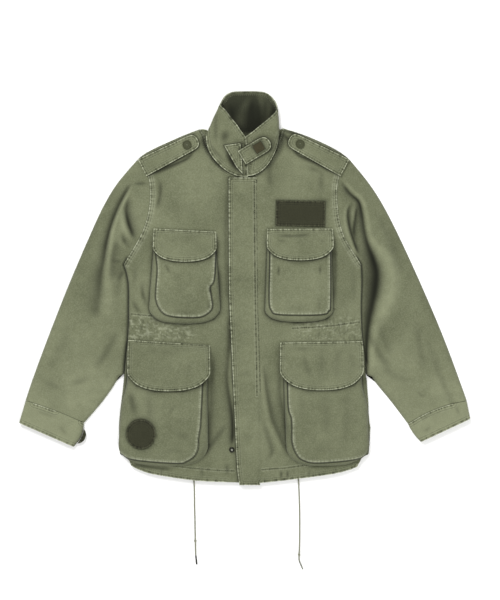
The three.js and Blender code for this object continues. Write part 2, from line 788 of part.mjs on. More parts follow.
function addPlacket() {
  const free = edgeOf(placketRows);
  const stitched = edgeOf(columnOf(placketRows, "right"));
  const firstRow = placketRows[0];
  const lastRow = placketRows[placketRows.length - 1];
  const low = line(firstRow, { x: firstRow.right, y: firstRow.y + 5 });
  const high = line(lastRow, { x: lastRow.right, y: lastRow.y });
  const even = (curve) => ({ getPoint: (t) => curve.getPointAt(t) });
  const patch = patchBetween(low, high, even(free), even(stitched));
  const geometry = wall({
    point: (u, v) => {
      const { x, y } = patch(u, v);
      return new THREE.Vector3(x, y, layHeight(x, y, HEAVY));
    },
    across: shares(4, 0, 0),
    along: shares(30, 0, 0),
    thickness: HEAVY,
    upright: (u, v) => u === 0 || u === 1 || v === 0 || v === 1,
  });
  return add("placket", geometry);
}
addPlacket();

// Pockets: an outline that is straight at the top and rounded at the bottom, for pouches and flaps
function pocketEdges({ topRight, topLeft, lowRight, lowLeft, bottom, squareness }) {
  const side = (top, low, middle) => edgeOf([low, middle, top].filter(Boolean));
  const centreX = (lowRight.x + lowLeft.x) / 2;
  const halfWidth = (lowLeft.x - lowRight.x) / 2;
  const power = (value) => Math.sign(value) * Math.abs(value) ** (2 / squareness);
  const round = {
    getPoint: (t) => {
      const angle = Math.PI * (1 - t);
      const sideY = THREE.MathUtils.lerp(lowRight.y, lowLeft.y, t);
      return new THREE.Vector2(
        centreX + halfWidth * power(Math.cos(angle)),
        sideY - (sideY - bottom) * Math.abs(power(Math.sin(angle))),
      );
    },
  };
  const top = line(topRight, topLeft);
  const even = (curve) => ({ getPoint: (t) => curve.getPointAt(t) });
  const rightSide = even(side(topRight, lowRight));
  const leftSide = even(side(topLeft, lowLeft));
  const border = [];
  for (let i = 12; i >= 0; i -= 1) border.push(rightSide.getPoint(i / 12));
  for (let i = 1; i <= 30; i += 1) border.push(round.getPoint(i / 30));
  for (let i = 1; i <= 12; i += 1) border.push(leftSide.getPoint(i / 12));
  return { patch: patchBetween(round, top, rightSide, leftSide), distance: distanceTo(border) };
}

function pouchOf(row) {
  const edges = pocketEdges({
    topRight: { x: row.right, y: row.mouth },
    topLeft: { x: row.left, y: row.mouth },
    lowRight: { x: row.bulgeRight, y: row.bottom + row.corner },
    lowLeft: { x: row.bulgeLeft, y: row.bottom + row.corner },
    bottom: row.bottom,
    squareness: 2.9,
  });
  const height = (x, y) => {
    const lowness = smooth((row.mouth - 30 - y) / (row.mouth - row.bottom - 60));
    const steepness = row.steepAt === null ? 0 : 0.6 * (1 - smooth((Math.abs(x - row.steepAt) - 12) / 40));
    const gusset = THREE.MathUtils.lerp(row.gussetTop, row.gussetLow, lowness) * (1 - steepness);
    const distance = edges.distance(x, y);
    const side = 0.8 * quarterRound(distance / gusset);
    const panel = 0.2 * smooth((distance - gusset) / 5);
    return frontTop(x, y) + POUCH_LAY + row.depth * (side + panel);
  };
  return { ...edges, height };
}

function addPouch(row) {
  const pouch = pouchOf(row);
  const geometry = wall({
    point: (u, v) => {
      const { x, y } = pouch.patch(u, v);
      return new THREE.Vector3(x, y, pouch.height(x, y));
    },
    across: shares(6, 0.1, 0.1),
    along: shares(7, 0.09, 0),
    upright: (u, v) => v === 1,
    lowest: (x, y) => frontTop(x, y) + POUCH_LAY,
  });
  return add(`pouch_${row.name}`, geometry);
}

function addFlap(row) {
  const thickness = HEAVY;
  const edges = pocketEdges({
    topRight: { x: row.flapRight, y: row.topRight },
    topLeft: { x: row.flapLeft, y: row.topLeft },
    lowRight: { x: row.flapRight - 1, y: row.flapSide },
    lowLeft: { x: row.flapLeft + 1, y: row.flapSide },
    bottom: row.flapBottom,
    squareness: 2.4,
  });
  const geometry = wall({
    point: (u, v) => {
      const { x, y } = edges.patch(u, v);
      const top = THREE.MathUtils.lerp(row.topRight, row.topLeft, u);
      const slope = smooth((top - y) / (top - row.mouth - 7));
      return new THREE.Vector3(x, y, frontTop(x, y) + row.depth * slope + POUCH_LAY + 2 * LAY + thickness);
    },
    across: shares(5, 0.06, 0.06),
    along: [0, 0.06, 0.3, 0.58, 0.72, 0.86, 1],
    thickness,
    upright: (u, v) => v === 1,
  });
  add(`flap_${row.name}`, geometry);
}

const pouches = {};
pocketRows.forEach((row) => {
  pouches[row.name] = addPouch(row);
  addFlap(row);
});

// Collar: one strip, its rows running from the neck seam to the rim
function addCollar() {
  const curve = (prefix) =>
    new THREE.CatmullRomCurve3(
      collarRows.map((row) => new THREE.Vector3(row[`${prefix}X`], row[`${prefix}Y`], row[`${prefix}Z`])),
    );
  const seam = curve("seam");
  const rim = curve("rim");
  const middle = new THREE.Vector3(0, 350, 12);
  const geometry = wall({
    point: (u, v) => {
      const low = seam.getPoint(u);
      const high = rim.getPoint(u);
      const p = low.lerp(high, v);
      const outward = p.clone().sub(middle).setY(0).normalize();
      p.addScaledVector(outward, COLLAR_BULGE * 4 * v * (1 - v));
      p.z = Math.max(p.z, COLLAR_FLOOR);
      return p;
    },
    across: shares(44, 0, 0),
    along: shares(5, 0, 0),
    thickness: HEAVY,
  });
  return add("collar", geometry);
}
const collar = addCollar();
collar.updateMatrixWorld(true);

// Rounded and square-ended straps: an outline swept from one end to the other, laid over a surface
function strapPatch({ from, to, fromWidth, toWidth, roundEnd }) {
  const start = new THREE.Vector2(from.x, from.y);
  const end = new THREE.Vector2(to.x, to.y);
  const length = start.distanceTo(end);
  const along = end.clone().sub(start).normalize();
  const side = new THREE.Vector2(-along.y, along.x);
  return (u, v) => {
    const sideways = 2 * v - 1;
    const round = roundEnd * (1 - Math.sqrt(Math.max(0, 1 - Math.abs(sideways) ** 2.4)));
    const reach = u * (length - round);
    const half = THREE.MathUtils.lerp(fromWidth, toWidth, u) / 2;
    return start.clone().addScaledVector(along, reach).addScaledVector(side, half * sideways);
  };
}

// Collar end: the square end of the collar, between its two crossing fronts
const collarEndCorners = {
  lowNear: { x: -16, y: 268 },
  lowFar: { x: -3, y: 254 },
  highNear: { x: -44, y: 317 },
  highFar: { x: -8, y: 322 },
};

function addCollarEnd() {
  const { lowNear, lowFar, highNear, highFar } = collarEndCorners;
  const patch = patchBetween(
    line(lowNear, lowFar),
    line(highNear, highFar),
    line(lowNear, highNear),
    line(lowFar, highFar),
  );
  const geometry = wall({
    point: (u, v) => {
      const { x, y } = patch(u, v);
      return new THREE.Vector3(x, y, topOf([collar], x, y) + SEAM + COLLAR_END + 0.1);
    },
    across: shares(4, 0, 0),
    along: shares(5, 0, 0),
    thickness: COLLAR_END,
    upright: (u, v) => u === 0 || u === 1 || v === 0 || v === 1,
  });
  add("collar_end", geometry);
}
addCollarEnd();

// Throat tab: a flat strap across the crossing, square at one end and round at the other
const throatTab = { from: { x: -4.5, y: 289 }, to: { x: 57, y: 326 }, width: 34, round: 15 };
const throatPlane = { z: 30.3, slopeX: -0.07, slopeY: 0.045, x: 12, y: 300 };

function throatHeight(x, y) {
  return throatPlane.z + throatPlane.slopeX * (x - throatPlane.x) + throatPlane.slopeY * (y - throatPlane.y);
}

function addThroatTab() {
  const patch = strapPatch({
    from: throatTab.from,
    to: throatTab.to,
    fromWidth: throatTab.width,
    toWidth: throatTab.width,
    roundEnd: throatTab.round,
  });
  const edge = () => true;
  const geometry = wall({
    point: (u, v) => {
      const { x, y } = patch(u, v);
      return new THREE.Vector3(x, y, throatHeight(x, y));
    },
    across: shares(6, 0, 0),
    along: [0, 0.06, 0.18, 0.35, 0.5, 0.65, 0.82, 0.94, 1],
    thickness: HEAVY,
    upright: edge,
  });
  add("throat_tab", geometry);
  const patchHalf = { x: 10.5, y: 9.5 };
  const centre = { x: 33, y: 312 };
  const turn = Math.atan2(throatTab.to.y - throatTab.from.y, throatTab.to.x - throatTab.from.x);
  const squareGeometry = wall({
    point: (u, v) => {
      const a = (2 * u - 1) * patchHalf.x;
      const b = (2 * v - 1) * patchHalf.y;
      const x = centre.x + a * Math.cos(turn) - b * Math.sin(turn);
      const y = centre.y + a * Math.sin(turn) + b * Math.cos(turn);
      return new THREE.Vector3(x, y, throatHeight(x, y) + SEAM + THIN);
    },
    across: shares(3, 0, 0),
    along: shares(3, 0, 0),
    thickness: THIN,
    upright: edge,
  });
  add("throat_patch", squareGeometry, oliveDark);
}
addThroatTab();

// Epaulettes: straps along the shoulders, stiff enough to bridge the rounded shoulder edge
const epaulettes = {
  right: { from: { x: -227, y: 268 }, to: { x: -103, y: 331 }, button: { x: -127, y: 319 } },
  left: { from: { x: 225, y: 268 }, to: { x: 101, y: 333 }, button: { x: 125, y: 321 } },
};
const strapWidths = { outer: 42, inner: 34, round: 13 };
const strapSurface = { top: 17.4, drop: 5, reach: 34 }; // it dips a little towards the shoulder edge

function addEpaulette(side) {
  const row = epaulettes[side];
  const shoulder = distanceTo(shoulderEdges[side]);
  const height = (x, y) => {
    const distance = shoulder(x, y);
    const roll = 1 - quarterRound((distance + 5) / strapSurface.reach);
    return strapSurface.top - strapSurface.drop * roll;
  };
  const patch = strapPatch({
    from: row.from,
    to: row.to,
    fromWidth: strapWidths.outer,
    toWidth: strapWidths.inner,
    roundEnd: strapWidths.round,
  });
  const geometry = wall({
    point: (u, v) => {
      const { x, y } = patch(u, v);
      return new THREE.Vector3(x, y, height(x, y));
    },
    across: shares(8, 0, 0),
    along: [0, 0.08, 0.25, 0.5, 0.75, 0.92, 1],
    thickness: HEAVY,
  });
  add(`epaulette_${side}`, geometry);
  const profile = [
    [0, 0], [8.6, 0], [10, 1], [10, 2.8], [9.2, 3.4], [7.8, 3.3], [6.8, 2.4], [0, 2.3],
  ].map(([radius, z]) => new THREE.Vector2(radius, z));
  const button = new THREE.LatheGeometry(profile, 16).rotateX(Math.PI / 2);
  const z = height(row.button.x, row.button.y) + 0.9;
  button.translate(row.button.x, row.button.y, z);
  add(`button_${side}`, button, oliveDark, 0.55);
}

["right", "left"].forEach(addEpaulette);

// Patches: the bare rectangle on the left chest and the disc on the right lower pocket
function addPatch(name, point, across, along) {
  const geometry = wall({ point, across, along, thickness: THIN, upright: () => true });
  add(name, geometry, oliveDark);
}

const chestPatch = { x: 126, y: 166, width: 108, height: 55, tilt: -0.02 };
addPatch(
  "patch_rectangle",
  (u, v) => {
    const a = (u - 0.5) * chestPatch.width;
    const b = (v - 0.5) * chestPatch.height;
    const x = chestPatch.x + a * Math.cos(chestPatch.tilt) - b * Math.sin(chestPatch.tilt);
    const y = chestPatch.y + a * Math.sin(chestPatch.tilt) + b * Math.cos(chestPatch.tilt);
    return new THREE.Vector3(x, y, layHeight(x, y, THIN));
  },
  shares(8, 0, 0),
  shares(4, 0, 0),
);

const roundPatch = { x: -229, y: -325, radius: 32.5 };
addPatch(
  "patch_round",
  (u, v) => {
    // A square grid pressed into a disc
    const a = 2 * u - 1;
    const b = 2 * v - 1;
    const x = roundPatch.x + roundPatch.radius * a * Math.sqrt(1 - (b * b) / 2);
    const y = roundPatch.y + roundPatch.radius * b * Math.sqrt(1 - (a * a) / 2);
    return new THREE.Vector3(x, y, topOf([pouches.lower_right], x, y) + LAY + THIN);
  },
  shares(6, 0, 0),
  shares(6, 0, 0),
);

// Snap stud on the right front, beside the placket
const snap = { x: -27, y: -361 };
const snapProfile = [
  [0, 0], [6.5, 0], [6, 1.8], [4.2, 1.9], [2.7, 1.1], [2.4, 3.2], [0, 3.7],
].map(([radius, z]) => new THREE.Vector2(radius, z));
const snapStud = new THREE.LatheGeometry(snapProfile, 14).rotateX(Math.PI / 2);
snapStud.translate(snap.x, snap.y, frontTop(snap.x, snap.y) + 0.9);
add("snap_stud", snapStud, new THREE.Color("#34352c"), 0.4, 0.8);

// Cuff tab: a dark crescent of the closing strap, just past the inner edge of the right cuff
const cuffTab = { from: 0.22, to: 0.84, width: 8.5, gap: 0.1, z: 5.3, steps: 10 };

function addCuffTab() {
  const plan = cuffPlan("right");
  const edgePoint = (share, reach) => {
    const v = THREE.MathUtils.lerp(cuffTab.from, cuffTab.to, share);
    return plan.at(1, v).addScaledVector(plan.inward, reach);
  };
  const inside = [];
  const outside = [];
  for (let i = 0; i <= cuffTab.steps; i += 1) {
    const share = i / cuffTab.steps;
    inside.push(edgePoint(share, cuffTab.gap));
    outside.push(edgePoint(share, cuffTab.gap + cuffTab.width * Math.sqrt(Math.sin(Math.PI * share))));
  }
  const outline = [...inside, ...outside.slice(1, -1).reverse()];
  const geometry = new THREE.ExtrudeGeometry(new THREE.Shape(outline), { depth: HEAVY, bevelEnabled: false });
  add("cuff_tab", geometry.translate(0, 0, cuffTab.z), oliveDark);
}
addCuffTab();

// Drawcords: a round cord, a knot round it and an aglet on its end
function addCord(side) {
  const route = new THREE.CatmullRomCurve3(
    cordRoutes[side].map((row) => new THREE.Vector3(row.x, row.y, row.z)),
  );
  const section = new THREE.Shape();
  const sides = 8;
  for (let i = 0; i < sides; i += 1) {
    const angle = (2 * Math.PI * i) / sides;
    const x = CORD_RADIUS * Math.cos(angle);
    const y = CORD_RADIUS * Math.sin(angle);
    if (i === 0) section.moveTo(x, y);
    else section.lineTo(x, y);
  }
  const tube = new THREE.ExtrudeGeometry(section, {
    steps: CORD_STEPS,
    bevelEnabled: false,
    extrudePath: route,
  });
  add(`cord_${side}`, tube, new THREE.Color("#9e9f8b"), 0.9);

  const share = knotShares[side];
  const knotPoint = route.getPointAt(share);
  const knotAxis = route.getTangentAt(share);
  const hole = CORD_RADIUS + SEAM;
  const knotProfile = [
    [hole, -3], [hole + 1, -2.6], [hole + 1.2, 0], [hole + 1, 2.6], [hole, 3], [hole, -3],
  ].map(([radius, height]) => new THREE.Vector2(radius, height));
  const knot = new THREE.LatheGeometry(knotProfile, 12);
  const turn = new THREE.Quaternion().setFromUnitVectors(new THREE.Vector3(0, 1, 0), knotAxis);
  knot.applyQuaternion(turn).translate(knotPoint.x, knotPoint.y, knotPoint.z);
  add(`knot_${side}`, knot, new THREE.Color("#9e9f8b"), 0.9);

  const last = cordRoutes[side][cordRoutes[side].length - 1];
  const end = agletEnds[side];
  const axis = new THREE.Vector3(end.x - last.x, end.y - last.y, end.z - last.z).normalize();
  const agletProfile = [
    [0, 0], [1.5, 0], [1.65, 0.6], [1.65, AGLET_LENGTH - 1], [1.1, AGLET_LENGTH], [0, AGLET_LENGTH],
  ].map(([radius, height]) => new THREE.Vector2(radius, height));
  const aglet = new THREE.LatheGeometry(agletProfile, 10);
  aglet.applyQuaternion(new THREE.Quaternion().setFromUnitVectors(new THREE.Vector3(0, 1, 0), axis));
  aglet.translate(last.x + axis.x * 0.9, last.y + axis.y * 0.9, last.z);
  add(`aglet_${side}`, aglet, new THREE.Color(side === "right" ? "#2b2c26" : "#74756d"), 0.4, 0.6);
}

["right", "left"].forEach(addCord);

export default jacket;
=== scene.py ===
"""Field jacket of garment-washed olive cotton, fastened and laid flat on its back.

The solids give the place and form of every piece. Each cloth piece is a smooth shell on its solid's
form, with creases, seam puckers and stitches of its own. Right and left are the wearer's, so the
right side has negative x. The tables are in millimetres.
"""

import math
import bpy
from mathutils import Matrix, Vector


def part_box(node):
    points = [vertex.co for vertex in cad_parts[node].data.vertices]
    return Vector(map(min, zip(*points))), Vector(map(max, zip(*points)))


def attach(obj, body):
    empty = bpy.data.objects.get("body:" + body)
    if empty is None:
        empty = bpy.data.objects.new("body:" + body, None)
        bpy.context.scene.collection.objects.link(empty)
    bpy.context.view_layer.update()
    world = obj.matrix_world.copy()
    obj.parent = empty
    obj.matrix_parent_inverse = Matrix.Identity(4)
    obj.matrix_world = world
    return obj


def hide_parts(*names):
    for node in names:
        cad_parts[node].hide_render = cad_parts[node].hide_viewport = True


bl_info = {
    "name": "Field Jacket",
    "version": (1, 0, 0),
    "blender": (4, 5, 0),
    "location": "3D View > Sidebar > Jacket",
    "description": "Models the cloth, stitching and trim of a field jacket laid flat",
    "category": "Object",
}

import bmesh
import bpy
import numpy as np
from mathutils import Matrix, Vector, kdtree, noise
from mathutils.bvhtree import BVHTree

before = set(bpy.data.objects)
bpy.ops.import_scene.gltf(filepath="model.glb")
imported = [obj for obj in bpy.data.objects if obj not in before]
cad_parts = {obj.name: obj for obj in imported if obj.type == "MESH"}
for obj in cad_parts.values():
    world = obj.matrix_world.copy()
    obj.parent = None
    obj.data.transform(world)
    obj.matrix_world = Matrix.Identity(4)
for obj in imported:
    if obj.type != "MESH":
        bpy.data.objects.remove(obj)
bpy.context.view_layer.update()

MM = 0.001
BODY = "root"


def linear(hex_colour):
    """An sRGB hex colour as linear RGBA."""
    shares = [int(hex_colour[i : i + 2], 16) / 255 for i in (1, 3, 5)]
    values = [s / 12.92 if s <= 0.04045 else ((s + 0.055) / 1.055) ** 2.4 for s in shares]
    return (*values, 1.0)


def colour_property(name, description, hex_colour):
    """A panel setting that holds a colour."""
    return bpy.props.FloatVectorProperty(
        name=name,
        description=description,
        default=linear(hex_colour),
        subtype="COLOR",
        size=4,
        min=0.0,
        max=1.0,
    )


def length_property(name, description, millimetres):
    """A panel setting that holds a length."""
    return bpy.props.FloatProperty(
        name=name,
        description=description,
        default=millimetres * MM,
        unit="LENGTH",
        min=0.0,
    )


class JacketCloth(bpy.types.PropertyGroup):
    """Colours of the cotton and sizes of its seams."""

    base: colour_property("Cotton", "Cloth where it has neither faded nor darkened", "#5b5f47")
    # The faded colour also paints the highlights along the crests beside folds
    faded: colour_property("Faded cotton", "Cloth where washing has taken most dye", "#797d62")
    worn: colour_property("Worn seams", "High points along seams and edges", "#a9ad94")
    # The shade colour paints the shade in folds, hollows and stitch grooves, under edges and inside the
    # collar; it is also the darker mottle of the dye
    shaded: colour_property("Painted shade and unfaded cotton", "Cloth inside folds and the collar", "#15170d")
    # The patch colour also paints the cuff tab dark as shade, as it lies in shadow under the cuff
    patch: colour_property("Patch cloth", "The dark patches", "#2b2c1d")
    thread: colour_property("Thread", "Stitching thread", "#5c604a")
    pucker: length_property("Pucker height", "Height of the puckers along a seam", 0.9)
    ridge: length_property("Seam height", "How much thicker a folded seam is than the cloth", 0.7)
    seam_width: length_property("Seam width", "Width of the folded seams and hems", 9.0)
    stitch_pitch: length_property("Stitch pitch", "Spacing of the stitches, drawn coarser than real", 4.6)
    stitch_length: length_property("Stitch length", "Visible length of one stitch", 3.2)
    thread_radius: length_property("Thread radius", "Half the thickness of the thread", 0.42)


class JacketTrim(bpy.types.PropertyGroup):
    """Colours and sizes of the hard pieces and the drawcords."""

    button: colour_property("Button", "Moulded buttons", "#393c27")
    metal: colour_property("Dark metal", "Snap ring and the right cord's aglet", "#2c2d27")
    bright_metal: colour_property("Bare metal", "Snap post and the left cord's aglet", "#8b8c82")
    cord: colour_property("Cord", "Braided cotton cord", "#8f907c")
    cord_diameter: length_property("Cord diameter", "Thickness of the drawcords", 3.0)


class JacketStage(bpy.types.PropertyGroup):
    """The camera's frame, the floor and the light."""

    floor: colour_property("Floor", "Pale floor", "#fafaf9")
    pixel: length_property("Pixel", "Width on the jacket of one pixel of the frame", 2.24)
    camera_height: length_property("Camera height", "Distance from the camera to the jacket", 3600.0)


# Creases: a soft trough (negative) or ridge along a bent line, in millimetres. shade is how dark the
# cloth reads in the hollow, from 0 to 1.
CREASE_COLUMNS = ("x0", "y0", "xm", "ym", "x1", "y1", "height", "width", "shade")
CREASES = {
    "front": [
        (-192, 250, -178, 218, -198, 168, -1.6, 5, 0.5),
        (-40, -340, -60, -366, -84, -392, 1.2, 6, 0.0),
        (42, -44, 62, -68, 92, -79, -1.8, 4, 0.75),
        (90, -78, 130, -84, 190, -58, -1.2, 4, 0.55),
        (-226, 20, -232, -14, -214, -44, -1.6, 5, 0.5),
        (-252, -20, -244, -44, -226, -64, -1.0, 5, 0.4),
        (-246, 60, -240, 30, -250, -8, -0.9, 6, 0.2),
        (-62, 60, -48, 0, -60, -60, -1.3, 6, 0.45),
        (202, 100, 206, 30, 200, -40, -1.4, 5, 0.5),
        (250, 70, 240, 20, 250, -40, -0.8, 7, 0.15),
        (228, 62, 214, 10, 222, -50, 0.8, 9, 0.0),
        (-180, 180, -130, 170, -90, 178, -0.6, 14, 0.08),
        (-150, 255, -120, 215, -118, 165, 0.8, 16, 0.0),
        (62, 300, 52, 262, 62, 214, -1.2, 8, 0.35),
        (88, 262, 110, 232, 112, 204, 0.8, 12, 0.0),
        (176, 268, 168, 232, 176, 206, -1.0, 8, 0.3),
        (132, 282, 150, 262, 184, 256, -1.1, 6, 0.3),
        (-150, 290, -172, 268, -196, 262, -1.0, 6, 0.25),
        # From here six rows beside the collar: shallow troughs painted with the collar's shadow on the fronts
        (-100, 346, -92, 352, -80, 356, -0.4, 5, 0.8),
        (-97, 340, -92, 322, -76, 298, -1.4, 5, 0.6),
        (-80, 302, -62, 278, -30, 256, -1.4, 5, 0.6),
        (76, 356, 100, 350, 146, 334, -0.6, 5, 0.7),
        (80, 348, 94, 338, 108, 322, -1.0, 5, 0.7),
        (74, 350, 76, 318, 64, 284, -1.6, 7, 0.65),
        (-60, -130, -72, -160, -68, -200, -0.6, 8, 0.12),
        (-96, -396, -92, -410, -94, -426, -0.9, 4, 0.3),
        (-262, -392, -200, -404, -150, -405, -1.2, 4, 0.6),
        (-186, -400, -184, -412, -186, -420, -0.8, 3, 0.3),
        (-226, -398, -224, -406, -226, -414, -0.7, 3, 0.3),
        (-42, -388, -34, -406, -38, -424, -0.9, 5, 0.4),
        (84, -404, 82, -416, 84, -430, -1.1, 3, 0.6),
        (98, -404, 97, -416, 98, -430, -1.1, 3, 0.6),
        (130, -398, 190, -400, 262, -386, -1.0, 4, 0.5),
        (146, -402, 145, -412, 146, -424, -0.8, 3, 0.3),
        (206, -398, 205, -406, 206, -416, -0.7, 3, 0.3),
    ],
    "placket": [
        (-32, 208, -8, 206, 18, 209, -0.3, 4, 0.12),
        (-30, 20, -6, 16, 20, 20, -0.3, 4, 0.16),
        (-30, -96, -2, -100, 26, -97, -0.25, 4, 0.12),
        (-24, -196, 2, -190, 30, -196, -0.3, 6, 0.1),
        (-16, -330, 6, -336, 34, -330, -0.3, 7, 0.1),
        (20, 60, 22, -20, 25, -110, 0.4, 5, 0.0),
    ],
    "pouch_chest_right": [
        (-176, 56, -170, 40, -160, 30, -0.9, 4, 0.4),
        (-74, 14, -78, -4, -70, -22, -1.4, 3, 0.7),
        (-80, -28, -74, -40, -80, -54, -1.0, 3, 0.4),
        (-206, 10, -212, -14, -200, -42, 0.8, 4, 0.0),
        (-150, 30, -120, 0, -90, 10, 0.5, 16, 0.0),
        (-160, -50, -130, -58, -100, -56, -0.5, 6, 0.15),
    ],
    "pouch_chest_left": [
        (77, 54, 77, 40, 77, 22, -0.9, 2.4, 0.6),
        (169, 54, 169, 40, 170, 24, -0.9, 2.4, 0.55),
        (90, -46, 120, -50, 160, -44, -0.4, 10, 0.1),
        (166, -22, 170, -38, 166, -54, -0.6, 4, 0.25),
        (100, 20, 130, 0, 150, 20, 0.5, 16, 0.0),
    ],
    "pouch_lower_right": [
        (-254, -222, -250, -256, -240, -292, -1.8, 8, 0.5),
        (-212, -226, -206, -262, -210, -312, -1.2, 10, 0.22),
        (-230, -232, -226, -254, -226, -276, 1.0, 7, 0.0),
        (-146, -252, -160, -272, -178, -292, -0.7, 2.4, 0.3),
        (-174, -246, -180, -262, -184, -272, -0.4, 2.4, 0.15),
        (-120, -240, -112, -300, -124, -350, 0.7, 12, 0.0),
        (-150, -318, -134, -334, -116, -336, -0.8, 7, 0.2),
        (-190, -366, -160, -360, -120, -364, -0.6, 6, 0.15),
        (-180, -290, -200, -340, -186, -374, 0.7, 14, 0.0),
    ],
    "pouch_lower_left": [
        (126, -226, 130, -270, 134, -316, -0.8, 11, 0.12),
        (186, -226, 178, -272, 184, -330, -0.8, 11, 0.12),
        (226, -226, 232, -290, 222, -370, -0.8, 11, 0.14),
        (150, -250, 154, -300, 150, -350, 0.7, 12, 0.0),
        (206, -300, 204, -330, 206, -366, 0.6, 9, 0.0),
        (130, -362, 170, -356, 230, -364, -0.5, 6, 0.1),
    ],
    "flap_chest_right": [
        (-180, 112, -140, 104, -90, 112, -0.4, 8, 0.12),
        (-190, 106, -184, 96, -172, 84, -0.4, 4, 0.15),
    ],
    "flap_chest_left": [
        (66, 118, 100, 112, 156, 120, -0.6, 4, 0.4),
        (70, 108, 86, 102, 100, 104, -0.4, 4, 0.25),
        (160, 112, 176, 104, 186, 96, -0.4, 5, 0.15),
    ],
    "flap_lower_right": [
        (-226, -136, -190, -150, -140, -140, -0.5, 10, 0.1),
        (-210, -160, -200, -190, -206, -214, -0.4, 9, 0.1),
        (-118, -160, -122, -190, -134, -206, -0.4, 8, 0.1),
    ],
    "flap_lower_left": [
        (130, -140, 138, -180, 154, -208, -0.7, 6, 0.22),
        (168, -126, 178, -166, 172, -210, -0.7, 9, 0.16),
        (206, -126, 212, -170, 204, -214, -0.7, 10, 0.16),
        (236, -126, 242, -164, 238, -204, -0.6, 9, 0.12),
        (150, -140, 156, -170, 160, -200, 0.6, 6, 0.0),
        (190, -140, 192, -170, 188, -204, 0.6, 7, 0.0),
        (100, -132, 120, -138, 160, -132, -0.4, 5, 0.2),
    ],
    "collar": [
        (-44, 358, -38, 338, -50, 318, -1.2, 11, 0.6),
        (-60, 398, -66, 356, -60, 318, -1.0, 6, 0.35),
        (62, 350, 68, 320, 54, 286, -1.0, 9, 0.35),
        (-80, 332, -66, 300, -34, 276, -0.6, 4, 0.3),
        (4, 330, -6, 320, -8, 308, -0.6, 4, 0.6),
    ],
    "sleeve_right_upper": [
        (-212, 232, -232, 234, -254, 231, -1.4, 4, 0.5),
        (-236, 216, -228, 180, -232, 146, 1.6, 7, 0.0),
        (-272, 70, -278, 20, -286, -30, -1.2, 9, 0.2),
        (-302, 60, -312, 10, -308, -50, 1.6, 8, 0.0),
        (-262, 46, -276, 30, -284, 8, -1.2, 5, 0.45),
        (-266, 62, -284, 56, -300, 62, -0.8, 4, 0.3),
        (-350, 120, -376, 30, -404, -70, 1.6, 16, 0.0),
        (-330, 150, -360, 80, -380, 20, -1.2, 16, 0.12),
        (-300, -60, -316, -110, -350, -150, 1.2, 12, 0.0),
        (-282, -90, -300, -140, -336, -186, -1.4, 9, 0.3),
        (-390, -96, -420, -150, -440, -200, -1.0, 12, 0.15),
        (-340, -196, -366, -214, -400, -216, -1.2, 8, 0.25),
        (-400, -226, -430, -220, -456, -204, -0.9, 8, 0.2),
        (-278, 232, -300, 206, -314, 172, -0.9, 9, 0.15),
        (-368, -130, -352, -180, -330, -216, 1.0, 10, 0.0),
    ],
    "sleeve_left_upper": [
        (254, 176, 254, 144, 262, 116, 1.8, 4, 0.0),
        (320, 10, 336, -60, 352, -120, 1.8, 12, 0.0),
        (300, -60, 306, -110, 330, -160, -1.0, 10, 0.22),
        (270, -90, 290, -130, 330, -190, -1.2, 9, 0.3),
        (384, -70, 392, -130, 404, -190, -1.0, 9, 0.2),
        (386, -226, 398, -252, 410, -232, -0.9, 3, 0.25),
        (300, -170, 330, -200, 380, -208, -0.8, 9, 0.15),
        (256, 236, 276, 214, 292, 190, 1.0, 10, 0.0),
    ],
    "cuff_right": [
        (-470, -272, -440, -284, -410, -290, -0.7, 5, 0.2),
        (-420, -300, -400, -320, -392, -336, -0.6, 5, 0.2),
    ],
    "cuff_left": [
        (396, -300, 404, -284, 420, -278, -0.8, 5, 0.25),
        (470, -256, 478, -276, 484, -290, -0.8, 4, 0.25),
        (396, -322, 410, -318, 420, -308, -0.7, 4, 0.25),
    ],
    "back": [
        (-200, 180, -120, 60, -160, -60, 1.1, 12, 0.2),
        (190, 190, 130, 80, 170, -40, 1.1, 12, 0.2),
        (-240, -60, -100, -84, 20, -78, 1.0, 7, 0.3),
        (240, -66, 120, -96, -10, -90, 1.0, 7, 0.3),
        (-120, -140, -150, -240, -110, -360, 1.1, 13, 0.2),
        (90, -130, 130, -250, 80, -370, 1.1, 12, 0.2),
        (-10, 300, 6, 180, -8, 60, 0.8, 9, 0.15),
        (-190, 250, -150, 230, -90, 240, 0.9, 9, 0.2),
        (190, 250, 140, 226, 80, 238, 0.9, 9, 0.2),
        (-230, -200, -200, -260, -220, -340, 0.9, 9, 0.2),
        (232, -190, 210, -260, 226, -350, 0.9, 9, 0.2),
    ],
    "sleeve_right_under": [
        (-250, 210, -300, 130, -300, 60, 1.1, 11, 0.3),
        (-290, 40, -330, -10, -380, -20, 1.0, 10, 0.2),
        (-290, -80, -340, -120, -400, -130, 1.0, 11, 0.2),
        (-330, -200, -380, -190, -430, -160, 0.9, 10, 0.2),
    ],
    "sleeve_left_under": [
        (250, 210, 300, 140, 296, 60, 1.1, 11, 0.3),
        (286, 30, 330, 0, 380, 6, 1.0, 10, 0.2),
        (290, -90, 350, -110, 400, -100, 1.0, 11, 0.2),
        (330, -210, 380, -200, 430, -170, 0.9, 10, 0.2),
    ],
}

